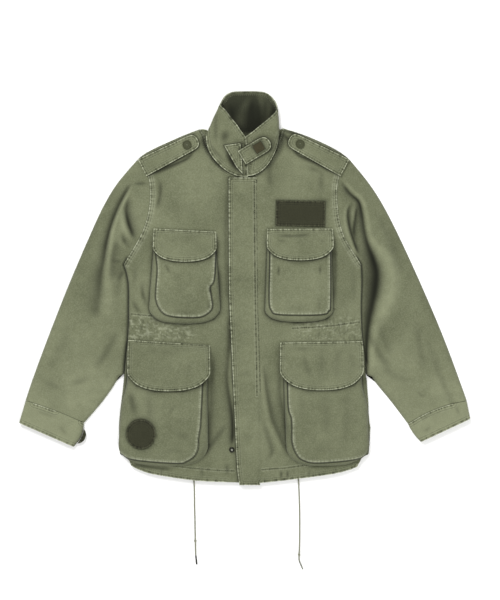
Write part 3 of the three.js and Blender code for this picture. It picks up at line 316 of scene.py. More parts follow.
# Long folds: a height, the side on which the shade dies away slowly (1 is to the left going along the
# fold, -1 to the right, 0 both alike), then points with the fold's width and shade at each
FOLDS = {
    "front": [
        (-2.6, -1, [
            (-35, -60, 3, 0.4), (-32, -110, 4, 0.6), (-36, -168, 4, 0.5), (-38, -205, 5, 0.6),
            (-31, -255, 6, 0.75), (-26, -290, 6, 0.9), (-25, -330, 6, 0.95), (-30, -364, 4, 0.6),
        ]),
        (-0.8, -1, [
            (-38, 230, 3, 0.2), (-40, 150, 4, 0.35), (-40, 60, 4, 0.3), (-36, -40, 4, 0.35),
        ]),
        (-2.2, 0, [
            (-33, -296, 5, 0.2), (-56, -328, 7, 0.4), (-86, -365, 7, 0.4), (-106, -388, 5, 0.4),
        ]),
        (-2.2, 1, [
            (-68, -150, 6, 0.3), (-72, -209, 7, 0.4), (-75, -280, 7, 0.45), (-80, -340, 7, 0.45),
            (-96, -384, 5, 0.5),
        ]),
        (1.8, 0, [
            (-56, -200, 7, 0), (-56, -260, 8, 0), (-64, -330, 8, 0),
        ]),
        (-2.6, 1, [
            (44, -170, 4, 0.3), (50, -225, 5, 0.5), (58, -270, 6, 0.5), (65, -298, 7, 0.5),
            (86, -346, 6, 0.45), (98, -374, 4, 0.3),
        ]),
        (-2.0, -1, [
            (86, -160, 5, 0.4), (80, -225, 6, 0.4), (88, -282, 6, 0.5), (98, -332, 5, 0.5),
            (110, -380, 4, 0.4),
        ]),
        (-1.8, 0, [
            (40, -290, 5, 0.2), (57, -342, 7, 0.35), (62, -370, 5, 0.35), (42, -390, 4, 0.2),
        ]),
        (1.8, 0, [
            (62, -216, 6, 0), (72, -280, 6, 0), (84, -334, 5, 0),
        ]),
        # The next two: painted shadow of the collar on the fronts beside it, with no height
        (0, 0, [
            (78, 366, 7, 0.9), (84, 346, 8, 0.85), (84, 324, 8, 0.7), (76, 300, 6, 0.5),
            (60, 276, 5, 0.4), (36, 258, 4, 0.3),
        ]),
        (0, 0, [
            (-90, 358, 6, 0.8), (-90, 336, 7, 0.85), (-84, 314, 7, 0.75), (-70, 290, 6, 0.6),
            (-50, 268, 5, 0.5), (-28, 252, 4, 0.4),
        ]),
        # The next two: painted shadow under the lower edges of the epaulettes, over a slight dip
        (-0.4, 0, [
            (-216, 249, 4, 0.8), (-170, 268, 4, 0.8), (-124, 291, 4, 0.8), (-110, 316, 4, 0.7),
        ]),
        (-0.4, 0, [
            (214, 250, 4, 0.8), (170, 274, 4, 0.8), (122, 296, 4, 0.8), (102, 322, 4, 0.8),
        ]),
    ],
    "sleeve_right_upper": [
        (-4.0, -1, [
            (-248, 240, 3, 0.4), (-268, 208, 4, 0.75), (-284, 176, 5, 0.8), (-298, 139, 5, 0.85),
            (-308, 100, 6, 0.85), (-314, 63, 8, 0.75), (-321, 27, 11, 0.7), (-326, -20, 13, 0.5),
            (-334, -76, 13, 0.3),
        ]),
        (2.6, 0, [
            (-252, 222, 5, 0), (-272, 182, 6, 0), (-290, 138, 6, 0), (-299, 96, 7, 0), (-302, 50, 8, 0),
        ]),
        (-4.6, 1, [
            (-252, 210, 4, 0.4), (-263, 180, 6, 0.7), (-260, 150, 7, 0.95), (-249, 118, 6, 0.85),
            (-240, 100, 4, 0.5),
        ]),
        (-1.6, 1, [
            (-272, 130, 5, 0.4), (-268, 106, 6, 0.55), (-252, 84, 4, 0.4),
        ]),
        (-2.2, 1, [
            (-276, 120, 6, 0.3), (-289, 86, 9, 0.4), (-294, 50, 12, 0.45), (-296, 6, 12, 0.3),
        ]),
    ],
    "sleeve_left_upper": [
        (-3.4, -1, [
            (212, 243, 4, 0.6), (236, 212, 5, 0.8), (256, 193, 5, 0.95), (263, 166, 6, 0.9),
            (269, 126, 6, 0.8), (276, 98, 8, 0.9), (288, 67, 15, 1), (296, 34, 20, 1), (293, -5, 20, 1),
            (286, -40, 17, 0.97), (279, -75, 13, 0.95), (275, -110, 9, 0.95), (274, -157, 7, 0.95),
            (277, -190, 6, 0.9),
        ]),
        (-2.0, 1, [
            (254, 196, 3, 0.5), (249, 161, 4, 0.8), (245, 125, 4, 0.75), (252, 98, 3, 0.5),
        ]),
        (-2.5, 1, [
            (244, 196, 3, 0.6), (232, 170, 4, 0.8), (236, 134, 5, 0.9), (247, 98, 4, 0.9),
            (261, 64, 4, 0.8),
        ]),
        (2.4, 0, [
            (288, 184, 8, 0), (314, 108, 10, 0), (330, 40, 11, 0), (336, -30, 12, 0),
        ]),
        (-1.4, 0, [
            (300, 168, 12, 0.1), (334, 96, 15, 0.18), (356, 24, 15, 0.1),
        ]),
        (-1.4, 0, [
            (403, -94, 8, 0.1), (434, -184, 9, 0.2), (461, -246, 8, 0.2), (479, -282, 6, 0.15),
        ]),
    ],
    "collar": [
        # Painted shadows with no height, the first under the left edge of the collar's end
        (0, 0, [
            (-44, 313, 3, 0.7), (-34, 293, 6, 0.9), (-25, 279, 8, 0.97), (-15, 265, 8, 0.97),
            (-5, 252, 5, 0.9),
        ]),
        (0, 0, [
            (-16, 322, 6, 0.3), (-6, 309, 6, 0.6), (8, 300, 5, 0.4),
        ]),
    ],
    "collar_inside": [
        (0, 1, [
            (24, 432, 5, 0.4), (18, 412, 8, 0.8), (14, 388, 12, 0.95), (12, 362, 14, 0.98),
            (6, 344, 12, 0.98),
        ]),
        (0, -1, [
            (40, 430, 4, 0.6), (47, 416, 5, 0.9), (46, 394, 6, 0.95), (38, 368, 6, 0.9),
        ]),
        (0, 1, [
            (-34, 424, 6, 0.4), (-28, 396, 8, 0.6), (-14, 366, 9, 0.8),
        ]),
    ],
}

# Where a pouch's face ends and its folded gusset begins
GUSSETS = {
    "pouch_chest_right": [
        (-194, 100), (-195, 74), (-192, 40), (-195, 0), (-195, -27), (-183, -52), (-160, -63),
        (-104, -65), (-82, -57), (-71, -43), (-73, -21), (-76, 1), (-67, 17), (-64, 60), (-64, 100),
    ],
    "pouch_chest_left": [
        (59, 100), (58, 40), (57, -30), (62, -50), (74, -58), (130, -60), (178, -58), (188, -50),
        (192, -34), (192, 100),
    ],
    "pouch_lower_right": [
        (-92, -150), (-93, -215), (-96, -279), (-98, -310), (-102, -335), (-103, -357), (-111, -374),
        (-127, -385), (-146, -390), (-222, -385), (-258, -379), (-274, -370),
    ],
    "pouch_lower_left": [
        (97, -150), (98, -227), (100, -270), (107, -294), (108, -343), (118, -370), (132, -383),
        (160, -389), (230, -384), (262, -378), (276, -369),
    ],
}

# How far the lower pouches spread past their solids at the side and bottom
SPREAD = {"pouch_lower_right": (-10, -8), "pouch_lower_left": (12, -8)}

# Stretches of edge with no sewing on them, as boxes in plan
SEAMLESS = {
    "front_right": [(-300, -392, -222, 52), (-40, -450, 40, 250)],
    "front_left": [(222, -392, 300, 52), (-40, -450, 40, 250)],
    "placket": [(12, -432, 60, 243)],
    "sleeve_right_upper": [(-600, -600, 0, 600)],
    "sleeve_left_upper": [(0, -600, 600, 600)],
    "pouch": [(-600, -600, 600, 600)],
    "throat_patch": [(-600, -600, 600, 600)],
    "cuff_right": [(-600, -264, -470, -200), (-420, -300, -340, -200)],
    "cuff_left": [(466, -264, 600, -200), (340, -290, 388, -200)],
}

# Seams inside a piece, as open lines: hem, waist channel, the placket's stitched edge
SEAM_LINES = {
    "hem_right": [(-262, -374), (-222, -386), (-166, -396), (-112, -403), (-66, -407), (-22, -409)],
    "hem_left": [(40, -406), (92, -402), (148, -394), (193, -389), (262, -377)],
    "waist_right": [(-252, -58), (-214, -62), (-170, -64), (-110, -66)],
    "waist_left": [(108, -90), (150, -88), (200, -84), (258, -76)],
    "placket_outer": [(37, -232), (35, -155), (32, -72), (30, 90), (29, 240)],
    "placket_inner": [(29, -240), (28, -155), (26, -72), (24, 90), (23, 240)],
}

# Drawcord routes, from inside the hem to the aglet
CORD_ROUTES = {
    "right": [
        (-111.6, -424, 3.8), (-111.6, -434, 3.8), (-111.3, -446, 1.9), (-111, -462, 1.7),
        (-110.6, -490, 1.7), (-109.8, -520, 1.7), (-109.4, -545, 2.2), (-108.9, -566, 3.3),
        (-108.4, -584, 2.4), (-108, -598, 1.8),
    ],
    "left": [
        (122, -422, 3.8), (122.4, -433, 3.8), (122.8, -446, 1.9), (123.6, -465, 1.7), (124.6, -500, 1.7),
        (124.8, -540, 1.7), (124.4, -576, 2.2), (123.4, -598, 3.3), (123.4, -610, 2.8),
    ],
}
# Which point of its route each knot sits on
KNOT_POINT = 7

# What each cloth piece is cut to (width and length), its area in square metres where that isn't a
# rectangle, and what it lies on
CLOTH_PIECES = {
    "front_right": {"flat": (290, 810), "area": 0.176, "on": ["back"]},
    "front_left": {"flat": (290, 810), "area": 0.164, "on": ["back"]},
    "placket": {"flat": (76, 690), "on": ["front_right", "front_left"]},
    "sleeve_right_upper": {"flat": (230, 620), "area": 0.075, "on": ["sleeve_right_under"]},
    "sleeve_left_upper": {"flat": (230, 620), "area": 0.076, "on": ["sleeve_left_under"]},
    "cuff_right": {"flat": (300, 56), "on": ["sleeve_right_under"]},
    "cuff_left": {"flat": (290, 52), "on": ["sleeve_left_under"]},
    "pouch_chest_right": {"flat": (200, 225), "area": 0.028, "on": ["front_right"]},
    "pouch_chest_left": {"flat": (195, 225), "area": 0.027, "on": ["front_left"]},
    "pouch_lower_right": {"flat": (240, 290), "area": 0.044, "on": ["front_right"]},
    "pouch_lower_left": {"flat": (235, 290), "area": 0.042, "on": ["front_left"]},
    "flap_chest_right": {"flat": (142, 76), "on": ["pouch_chest_right"]},
    "flap_chest_left": {"flat": (148, 73), "on": ["pouch_chest_left"]},
    "flap_lower_right": {"flat": (184, 115), "on": ["pouch_lower_right"]},
    "flap_lower_left": {"flat": (186, 110), "on": ["pouch_lower_left"]},
    "collar": {"flat": (430, 92), "on": ["back", "front_right", "front_left"]},
    "collar_end": {"flat": (36, 70), "area": 0.0017, "on": ["collar"]},
    "throat_tab": {"flat": (34, 71), "on": ["collar"]},
    "epaulette_right": {"flat": (40, 140), "on": ["front_right"]},
    "epaulette_left": {"flat": (40, 140), "on": ["front_left"]},
    "patch_rectangle": {"flat": (108, 55), "on": ["front_left"]},
    "patch_round": {"flat": (65, 65), "area": 0.0033, "on": ["pouch_lower_right"]},
    "throat_patch": {"flat": (21, 19), "on": ["throat_tab"]},
    "cuff_tab": {"flat": (12, 34), "area": 0.00023, "on": ["cuff_right"]},
}
# Pieces that follow the folds of the fronts, by the start of their names
LAID_ON_FRONTS = ("front", "placket", "pouch", "flap", "patch_rectangle", "patch_round")

# Subdivision levels of a shell, and the width of a floor panel's cells in millimetres
SHELL_LEVELS = 3
PANEL_CELL = 9
COLLAR_MIDDLE = Vector((0, 350, 12)) * MM
# Edges that turn by more than this are cut edges
RIM_ANGLE = math.radians(55)
# Points closer than this are one
WELD = 0.02 * MM
# Faces that look down more squarely than this are hidden on the layer below
UNDERSIDE = -0.95
# How far the shade of a fold reaches, in widths of the fold, on its soft and its hard side, and
# where both sides are alike
SOFT_SPREAD = 2.1
HARD_SPREAD = 0.6
EVEN_SPREAD = 0.9
# Length over which a fold dies away at each end, in millimetres
FOLD_TAPER = 30
# The sleeves lie against the body's side between these heights, in metres
ARMPIT = 0.065
SLEEVE_LEAVES = -0.199
# How far the hem is drawn in and how far the back neck rises, in millimetres
HEM_DRAW = 15
NECK_RISE = 26
# Distance of the stitch row from the edge of a pouch's face, in millimetres
GUSSET_ROW = 4.5
# Distances of the two stitch rows from a cut edge, in millimetres, and the pieces they run round
STITCH_ROWS = (2.4, 8.4)
STITCHED = {
    "stitches_pockets": ("flap_chest_right", "flap_chest_left", "flap_lower_right", "flap_lower_left"),
    "stitches_straps": ("epaulette_right", "epaulette_left", "throat_tab", "collar_end"),
    "stitches_collar": ("collar",),
    "stitches_sleeves": ("cuff_right", "cuff_left"),
    "stitches_body": ("front_right", "front_left", "placket"),
}
IN_PLAN = np.array([1, 1, 0])

# The pieces made so far, the marks along the solids' edges, and the materials, each by its name
made = {}
solid_marks = {}
finishes = {}


# Selection and mesh helpers


def activate(*pieces):
    """Selects these objects alone, the first one active."""
    bpy.ops.object.select_all(action="DESELECT")
    for piece in pieces:
        piece.select_set(True)
    bpy.context.view_layer.objects.active = pieces[0]


def new_object(name, mesh):
    """An object with this mesh, linked to the scene."""
    piece = bpy.data.objects.new(name, mesh)
    bpy.context.collection.objects.link(piece)
    return piece


def apply_modifier(piece, kind, **settings):
    """Adds a modifier with its settings and applies it."""
    modifier = piece.modifiers.new(kind.title(), kind)
    for key, value in settings.items():
        setattr(modifier, key, value)
    activate(piece)
    bpy.ops.object.modifier_apply(modifier=modifier.name)


def points_of(piece):
    """The places of a mesh's points, a row for each."""
    values = np.empty(len(piece.data.vertices) * 3, np.float32)
    piece.data.vertices.foreach_get("co", values)
    return values.reshape(-1, 3).astype(float)


def set_points(piece, points):
    """Moves a mesh's points to these places."""
    piece.data.vertices.foreach_set("co", points.astype(np.float32).ravel())
    piece.data.update()


def set_attribute(piece, name, values):
    """Gives each point a number or a vector for the shader."""
    kind = "FLOAT_VECTOR" if values.ndim == 2 else "FLOAT"
    attribute = piece.data.attributes.new(name, kind, "POINT")
    field = "vector" if values.ndim == 2 else "value"
    attribute.data.foreach_set(field, values.astype(np.float32).ravel())


def smoothstep(values):
    """Rises smoothly from 0 to 1 as the values do."""
    t = np.clip(values, 0, 1)
    return t * t * (3 - 2 * t)


def bell(values):
    """Falls smoothly from 1 at 0 towards 0 on both sides."""
    return np.exp(-(values**2))


def run_along(line):
    """Length along a line up to each of its points."""
    return np.concatenate([[0], np.cumsum(np.linalg.norm(np.diff(line, axis=0), axis=1))])


def normals_of(piece):
    """The normals of a mesh's points, a row for each."""
    normals = np.empty(len(piece.data.vertices) * 3, np.float32)
    piece.data.vertices.foreach_get("normal", normals)
    return normals.reshape(-1, 3)


def finish_piece(piece, slot, *nodes):
    """Rides on the body and stands for its nodes. The slot is not used."""
    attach(piece, BODY)
    if nodes:
        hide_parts(*nodes)
    made[piece.name] = piece


# Materials


def add_node(tree, kind, output=0, inputs=None, **settings):
    """Adds a shader node with its settings, fills its inputs and gives one of its outputs."""
    node = tree.nodes.new(f"ShaderNode{kind}")
    for key, value in settings.items():
        setattr(node, key, value)
    for key, value in (inputs or {}).items():
        if isinstance(value, bpy.types.NodeSocket):
            tree.links.new(value, node.inputs[key])
        else:
            node.inputs[key].default_value = value
    return node.outputs[output] if node.outputs else None


def new_material(name, **constants):
    """A material with a Principled shader and its constant sockets."""
    material = bpy.data.materials.new(name)
    material.use_nodes = True
    tree = material.node_tree
    tree.nodes.clear()
    sockets = {key.replace("_", " "): value for key, value in constants.items()}
    surface = add_node(tree, "BsdfPrincipled", 0, sockets)
    add_node(tree, "OutputMaterial", 0, {"Surface": surface})
    return material, tree, surface.node


# Tone of the cloth by distance from an edge in millimetres: the worn fold, then stitch rows in
# grooves, darkened as unfaded cloth and as painted shade, with the raised felled seam between them.
# 0.5 is the plain cloth.
EDGE_TONES = (
    (0, 0.8),
    (1.3, 0.72),
    (2.2, 0.34),
    (4.2, 0.38),
    (6.0, 0.54),
    (7.4, 0.53),
    (8.4, 0.34),
    (9.8, 0.55),
    (12, 0.5),
)
# How much of a seam's light and dark reaches the cloth's colour
SEAM_STRENGTH = 0.85
# Tone by distance from a stitch row inside a piece: its groove darkened as unfaded cloth and as painted shade
ROW_TONES = ((0, 0.2), (1.1, 0.26), (2.0, 0.57), (3.2, 0.56), (5, 0.5))


def washed_cotton(name, base, faded, worn, shaded):
    """Cotton twill, dyed and then washed: matt, unevenly faded, worn along its seams, with painted highlights
    beside folds and painted shade in its hollows.
    """
    material, tree, shader = new_material(
        name, Roughness=0.95, Sheen_Weight=0.08, Sheen_Roughness=0.6, Specular_IOR_Level=0.15
    )
    place = add_node(tree, "TexCoord", "Object")
    wear = add_node(tree, "Attribute", "Fac", attribute_name="wear")
    fade = add_node(tree, "Attribute", "Fac", attribute_name="fade")
    hollow = add_node(tree, "Attribute", "Fac", attribute_name="hollow")
    foot = add_node(tree, "Attribute", "Vector", attribute_name="foot")
    # Uneven fading in patches of 90 mm, mottling of 16 mm, and slubs of 2.5 mm, which is three times
    # the real yarn so that it shows
    patches = add_node(tree, "TexNoise", "Fac", {"Vector": place, "Scale": 1 / 0.09, "Detail": 3.0})
    mottle = add_node(tree, "TexNoise", "Fac", {"Vector": place, "Scale": 1 / 0.016, "Detail": 3.0})
    slub = add_node(tree, "TexNoise", "Fac", {"Vector": place, "Scale": 1 / 0.0025, "Detail": 2.0})
    # Puckers 4.2 mm apart, square to the seam, broken by 3 mm specks
    beads = add_node(tree, "TexNoise", "Fac", {"Vector": foot, "Scale": 1 / 0.0042, "Detail": 1.0})
    specks = add_node(tree, "TexNoise", "Fac", {"Vector": place, "Scale": 1 / 0.003, "Detail": 1.0})
    specks = add_node(tree, "Math", 0, {0: specks, 1: 0.6}, operation="MULTIPLY")
    beads = add_node(tree, "Math", 0, {0: beads, 1: 1.4, 2: specks}, operation="MULTIPLY_ADD")
    fading = {"Value": patches, "From Min": 0.36, "From Max": 0.66, "To Max": 0.45}
    fading = add_node(tree, "MapRange", 0, fading)
    # The fade attribute adds the fading of the cuffs and lower sleeves, and the painted highlights beside
    # folds
    fading = add_node(tree, "Math", 0, {0: fading, 1: fade}, operation="ADD", use_clamp=True)
    cloth = add_node(tree, "Mix", 2, {0: fading, 6: base, 7: faded}, data_type="RGBA")
    dye = add_node(tree, "MapRange", 0, {"Value": mottle, "From Min": 0.3, "From Max": 0.7, "To Max": 0.12})
    cloth = add_node(tree, "Mix", 2, {0: dye, 6: cloth, 7: shaded}, data_type="RGBA")
    yarn = add_node(tree, "MapRange", 0, {"Value": slub, "From Min": 0.4, "From Max": 0.75, "To Max": 0.16})
    cloth = add_node(tree, "Mix", 2, {0: yarn, 6: cloth, 7: worn}, data_type="RGBA")
    tones = []
    for attribute, steps in (("seam", EDGE_TONES), ("row", ROW_TONES)):
        distance = add_node(tree, "Attribute", "Fac", attribute_name=attribute)
        reach = steps[-1][0]
        share = add_node(tree, "MapRange", 0, {"Value": distance, "From Max": reach * MM})
        tone = add_node(tree, "ValToRGB", "Color", {"Fac": share})
        ramp = tone.node.color_ramp
        ends = {0: 0, len(steps) - 1: -1}
        for i, (millimetres, value) in enumerate(steps):
            step = ramp.elements[ends[i]] if i in ends else ramp.elements.new(millimetres / reach)
            step.color = (value, value, value, 1)
        tones.append(add_node(tree, "RGBToBW", 0, {"Color": tone}))
    tone = add_node(tree, "Math", 0, {0: tones[0], 1: tones[1]}, operation="ADD")
    # Beside a sewn edge the puckers are light and dark bars square to it: worn crests, and painted shade
    # between them
    rim = add_node(tree, "Attribute", "Fac", attribute_name="seam")
    rim = {"Value": rim, "From Min": 0.001, "From Max": 0.0062, "To Min": 0.75, "To Max": 0.0}
    rim = add_node(tree, "MapRange", 0, rim)
    bars = add_node(tree, "Math", 0, {0: beads, 1: 1.0}, operation="SUBTRACT")
    tone = add_node(tree, "Math", 0, {0: bars, 1: rim, 2: tone}, operation="MULTIPLY_ADD")
    light = add_node(tree, "MapRange", 0, {"Value": tone, "From Min": 1.0, "From Max": 1.3})
    light = add_node(tree, "Math", 0, {0: light, 1: wear}, operation="ADD", use_clamp=True)
    dark = add_node(tree, "MapRange", 0, {"Value": tone, "From Min": 1.0, "From Max": 0.68})
    # The light and the dark parts of a seam are broken up by its puckers
    light_beads = {"Value": beads, "From Min": 0.85, "From Max": 1.15, "To Min": 0.3}
    light_beads = add_node(tree, "MapRange", 0, light_beads)
    dark_beads = {"Value": beads, "From Min": 1.12, "From Max": 0.9, "To Min": 0.15}
    dark_beads = add_node(tree, "MapRange", 0, dark_beads)
    for lighter, darker in ((light_beads, dark_beads), (SEAM_STRENGTH, SEAM_STRENGTH)):
        light = add_node(tree, "Math", 0, {0: light, 1: lighter}, operation="MULTIPLY")
        dark = add_node(tree, "Math", 0, {0: dark, 1: darker}, operation="MULTIPLY")
    cloth = add_node(tree, "Mix", 2, {0: light, 6: cloth, 7: worn}, data_type="RGBA")
    # The seams' grooves darken towards the shade colour, partly as painted shade, then the hollow attribute's
    # painted shade
    cloth = add_node(tree, "Mix", 2, {0: dark, 6: cloth, 7: shaded}, data_type="RGBA")
    cloth = add_node(tree, "Mix", 2, {0: hollow, 6: cloth, 7: shaded}, data_type="RGBA")
    tree.links.new(cloth, shader.inputs["Base Color"])
    # Twill lines 3 mm apart on the diagonal, coarser than the real 0.8 mm
    twill = {"Vector": place, "Scale": 1 / 0.003 / 6.28, "Distortion": 1.5, "Detail": 2.0}
    twill = add_node(tree, "TexWave", "Fac", twill, bands_direction="DIAGONAL")
    height = add_node(tree, "Math", 0, {0: twill, 1: 0.3, 2: slub}, operation="MULTIPLY_ADD")
    raised = add_node(tree, "Math", 0, {0: light, 1: dark}, operation="SUBTRACT")
    height = add_node(tree, "Math", 0, {0: raised, 1: 1.6, 2: height}, operation="MULTIPLY_ADD")
    bump = add_node(tree, "Bump", 0, {"Height": height, "Distance": 0.0006, "Strength": 0.6})
    tree.links.new(bump, shader.inputs["Normal"])
    return material


def sewing_thread(name, colour):
    """Spun polyester thread: matt with a faint gloss, its twist as short noise."""
    material, tree, shader = new_material(name, Roughness=0.75, Sheen_Weight=0.1, Specular_IOR_Level=0.25)
    place = add_node(tree, "TexCoord", "Object")
    fade = add_node(tree, "TexNoise", "Fac", {"Vector": place, "Scale": 50.0, "Detail": 2.0})
    fade = add_node(tree, "MapRange", 0, {"Value": fade, "From Min": 0.35, "From Max": 0.65, "To Max": 0.5})
    tint = add_node(tree, "Mix", 2, {0: fade, 6: colour, 7: linear("#7d8168")}, data_type="RGBA")
    tree.links.new(tint, shader.inputs["Base Color"])
    twist = add_node(tree, "TexNoise", "Fac", {"Vector": place, "Scale": 1 / 0.0006, "Detail": 1.0})
    tree.links.new(add_node(tree, "Bump", 0, {"Height": twist, "Distance": 0.0001}), shader.inputs["Normal"])
    return material


def braided_cord(name, colour):
    """Braided cotton cord: matt and pale, soiled in specks, and darker in the grooves between its strands."""
    material, tree, shader = new_material(name, Roughness=0.88, Sheen_Weight=0.1, Specular_IOR_Level=0.2)
    place = add_node(tree, "TexCoord", "Object")
    groove = add_node(tree, "Attribute", "Fac", attribute_name="hollow")
    fibre = add_node(tree, "TexNoise", "Fac", {"Vector": place, "Scale": 1 / 0.0012, "Detail": 2.0})
    soil = add_node(tree, "MapRange", 0, {"Value": fibre, "From Min": 0.3, "From Max": 0.7, "To Max": 0.3})
    tint = add_node(tree, "Mix", 2, {0: soil, 6: colour, 7: linear("#66685a")}, data_type="RGBA")
    tint = add_node(tree, "Mix", 2, {0: groove, 6: tint, 7: linear("#4d4f3e")}, data_type="RGBA")
    tree.links.new(tint, shader.inputs["Base Color"])
    bump = add_node(tree, "Bump", 0, {"Height": fibre, "Distance": 0.0002, "Strength": 0.6})
    tree.links.new(bump, shader.inputs["Normal"])
    return material


def moulded_resin(name, colour):
    """Moulded urea resin: smooth and dull, scuffed by washing."""
    material, tree, shader = new_material(name, Roughness=0.6, Specular_IOR_Level=0.2)
    place = add_node(tree, "TexCoord", "Object")
    scuff = add_node(tree, "TexNoise", "Fac", {"Vector": place, "Scale": 1 / 0.0015, "Detail": 3.0})
    rub = add_node(tree, "MapRange", 0, {"Value": scuff, "From Min": 0.5, "From Max": 0.8, "To Max": 0.35})
    tint = add_node(tree, "Mix", 2, {0: rub, 6: colour, 7: linear("#6a6c54")}, data_type="RGBA")
    tree.links.new(tint, shader.inputs["Base Color"])
    dull = {"Value": scuff, "From Min": 0.3, "From Max": 0.8, "To Min": 0.35, "To Max": 0.7}
    tree.links.new(add_node(tree, "MapRange", 0, dull), shader.inputs["Roughness"])
    return material


def worn_metal(name, colour, roughness):
    """Blackened or bare brass: satin, with rubbed spots."""
    material, tree, shader = new_material(name, Metallic=1.0, Roughness=roughness)
    place = add_node(tree, "TexCoord", "Object")
    spots = add_node(tree, "TexNoise", "Fac", {"Vector": place, "Scale": 1 / 0.0012, "Detail": 3.0})
    rub = add_node(tree, "MapRange", 0, {"Value": spots, "From Min": 0.55, "From Max": 0.75, "To Max": 0.4})
    tint = add_node(tree, "Mix", 2, {0: rub, 6: colour, 7: linear("#8b8a80")}, data_type="RGBA")
    tree.links.new(tint, shader.inputs["Base Color"])
    dull = {"Value": spots, "From Min": 0.3, "From Max": 0.8, "To Min": roughness, "To Max": roughness + 0.25}
    tree.links.new(add_node(tree, "MapRange", 0, dull), shader.inputs["Roughness"])
    return material


def make_finishes():
    """Makes the materials from the panel's colours."""
    cloth = bpy.context.scene.jacket_cloth
    trim = bpy.context.scene.jacket_trim
    finishes["cotton"] = washed_cotton("washed_cotton", cloth.base, cloth.faded, cloth.worn, cloth.shaded)
    finishes["dark_cloth"] = washed_cotton(
        "patch_cloth", cloth.patch, linear("#313223"), linear("#4a4b38"), linear("#191a10")
    )
    finishes["rubbed_patch"] = washed_cotton(
        "rubbed_patch_cloth", linear("#34311f"), linear("#3f3a28"), linear("#56533c"), linear("#191a10")
    )
    finishes["thread"] = sewing_thread("sewing_thread", cloth.thread)
    finishes["cord"] = braided_cord("braided_cord", trim.cord)
    finishes["button"] = moulded_resin("moulded_resin", trim.button)
    finishes["dark_metal"] = worn_metal("blackened_brass", trim.metal, 0.42)
    finishes["grey_metal"] = worn_metal("bare_brass", trim.bright_metal, 0.4)


# Cloth


def crease_lines(name, points):
    """Height in metres, and the painted shade and painted highlight that a piece's creases and folds give at
    each point.
    """
    rows = []
    for row in CREASES.get(name, []):
        crease = dict(zip(CREASE_COLUMNS, row))
        t = np.linspace(0, 1, 15)[:, None]
        ends = [np.array([crease[f"x{k}"], crease[f"y{k}"]]) for k in ("0", "m", "1")]
        line = (1 - t) ** 2 * ends[0] + 2 * t * (1 - t) * ends[1] + t**2 * ends[2]
        finish = np.tile([crease["width"], crease["shade"]], (len(line), 1))
        rows.append((crease["height"], 0, np.hstack([line, finish])))
    for height, soft_side, marks in FOLDS.get(name, []):
        rows.append((height, soft_side, curve_through(np.array(marks, float), 6)))
    height = np.zeros(len(points))
    dark = np.zeros(len(points))
    light = np.zeros(len(points))
    room = smoothstep((points[:, 2] - 2.5 * MM) / (5 * MM))
    for depth, soft_side, curve in rows:
        line = curve[:, :2] * MM
        reach = 5 * curve[:, 2].max() * MM
        near = np.all((points[:, :2] > line.min(0) - reach) & (points[:, :2] < line.max(0) + reach), axis=1)
        if not near.any():
            continue
        distance, share, side, _ = distance_to_line(points[near, :2], line)
        run = run_along(line)
        width = np.interp(share * run[-1], run, curve[:, 2]) * MM
        shade = np.interp(share * run[-1], run, curve[:, 3])
        fade = min(0.5, FOLD_TAPER * MM / run[-1])
        taper = smoothstep(share / fade) * smoothstep((1 - share) / fade)
        height[near] += depth * MM * bell(distance / width) * taper
        hard = HARD_SPREAD if soft_side else EVEN_SPREAD
        spread = np.where(side * soft_side > 0, SOFT_SPREAD, hard)
        core = bell(distance / (0.8 * width))
        shadow = bell(distance / (spread * width))
        shadow = np.where(side * soft_side > 0, 0.45 * core + 0.55 * shadow, shadow)
        dark[near] = 1 - (1 - dark[near]) * (1 - shade * shadow * taper)
        # A painted highlight on the crest beside the hard side of a fold
        crest = bell((distance / width - 1.7) / 0.9) * (side * soft_side < 0)
        light[near] = np.maximum(light[near], shade * crest * taper)
    return np.where(height < 0, height * room, height), dark, light


def curve_through(marks, steps):
    """A smooth curve through marks, each of any number of values."""
    padded = np.vstack([2 * marks[0] - marks[1], marks, 2 * marks[-1] - marks[-2]])
    curve = []
    for i in range(1, len(padded) - 2):
        p0, p1, p2, p3 = padded[i - 1 : i + 3]
        for t in np.linspace(0, 1, steps, endpoint=False):
            bend = (2 * p0 - 5 * p1 + 4 * p2 - p3) * t**2 + (3 * p1 - p0 - 3 * p2 + p3) * t**3
            curve.append(0.5 * (2 * p1 + (p2 - p0) * t + bend))
    curve.append(padded[-2])
    return np.array(curve)


def distance_to_line(places, line):
    """Distance from each place to an open line, its share along it, its side and the nearest point."""
    best = np.full(len(places), np.inf)
    share = np.zeros(len(places))
    side = np.ones(len(places))
    foot = np.zeros((len(places), 2))
    lengths = np.linalg.norm(np.diff(line, axis=0), axis=1)
    starts = np.concatenate([[0], np.cumsum(lengths)])
    for i, length in enumerate(lengths):
        step = line[i + 1] - line[i]
        t = np.clip(((places - line[i]) @ step) / max(length**2, 1e-12), 0, 1)
        spot = line[i] + t[:, None] * step
        away = places - spot
        distance = np.linalg.norm(away, axis=1)
        closer = distance < best
        best[closer] = distance[closer]
        share[closer] = (starts[i] + t[closer] * length) / starts[-1]
        side[closer] = np.sign(step[0] * away[closer, 1] - step[1] * away[closer, 0])
        foot[closer] = spot[closer]
    return best, share, side, foot


def cloth_shell(node):
    """A smooth closed shell on a solid's form."""
    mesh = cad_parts[node].data.copy()
    mesh.materials.clear()
    piece = new_object(f"{node}_cloth", mesh)
    activate(piece)
    bpy.ops.mesh.customdata_custom_splitnormals_clear()
    bpy.ops.object.mode_set(mode="EDIT")
    bpy.ops.mesh.select_all(action="SELECT")
    bpy.ops.mesh.remove_doubles(threshold=WELD)
    bpy.ops.mesh.tris_convert_to_quads(
        face_threshold=math.radians(40), shape_threshold=math.radians(60)
    )
    bpy.ops.object.mode_set(mode="OBJECT")
    crease_rim(mesh)
    apply_modifier(piece, "SUBSURF", levels=SHELL_LEVELS, render_levels=SHELL_LEVELS)
    if node != "collar":
        thin_underside(piece)
    return piece


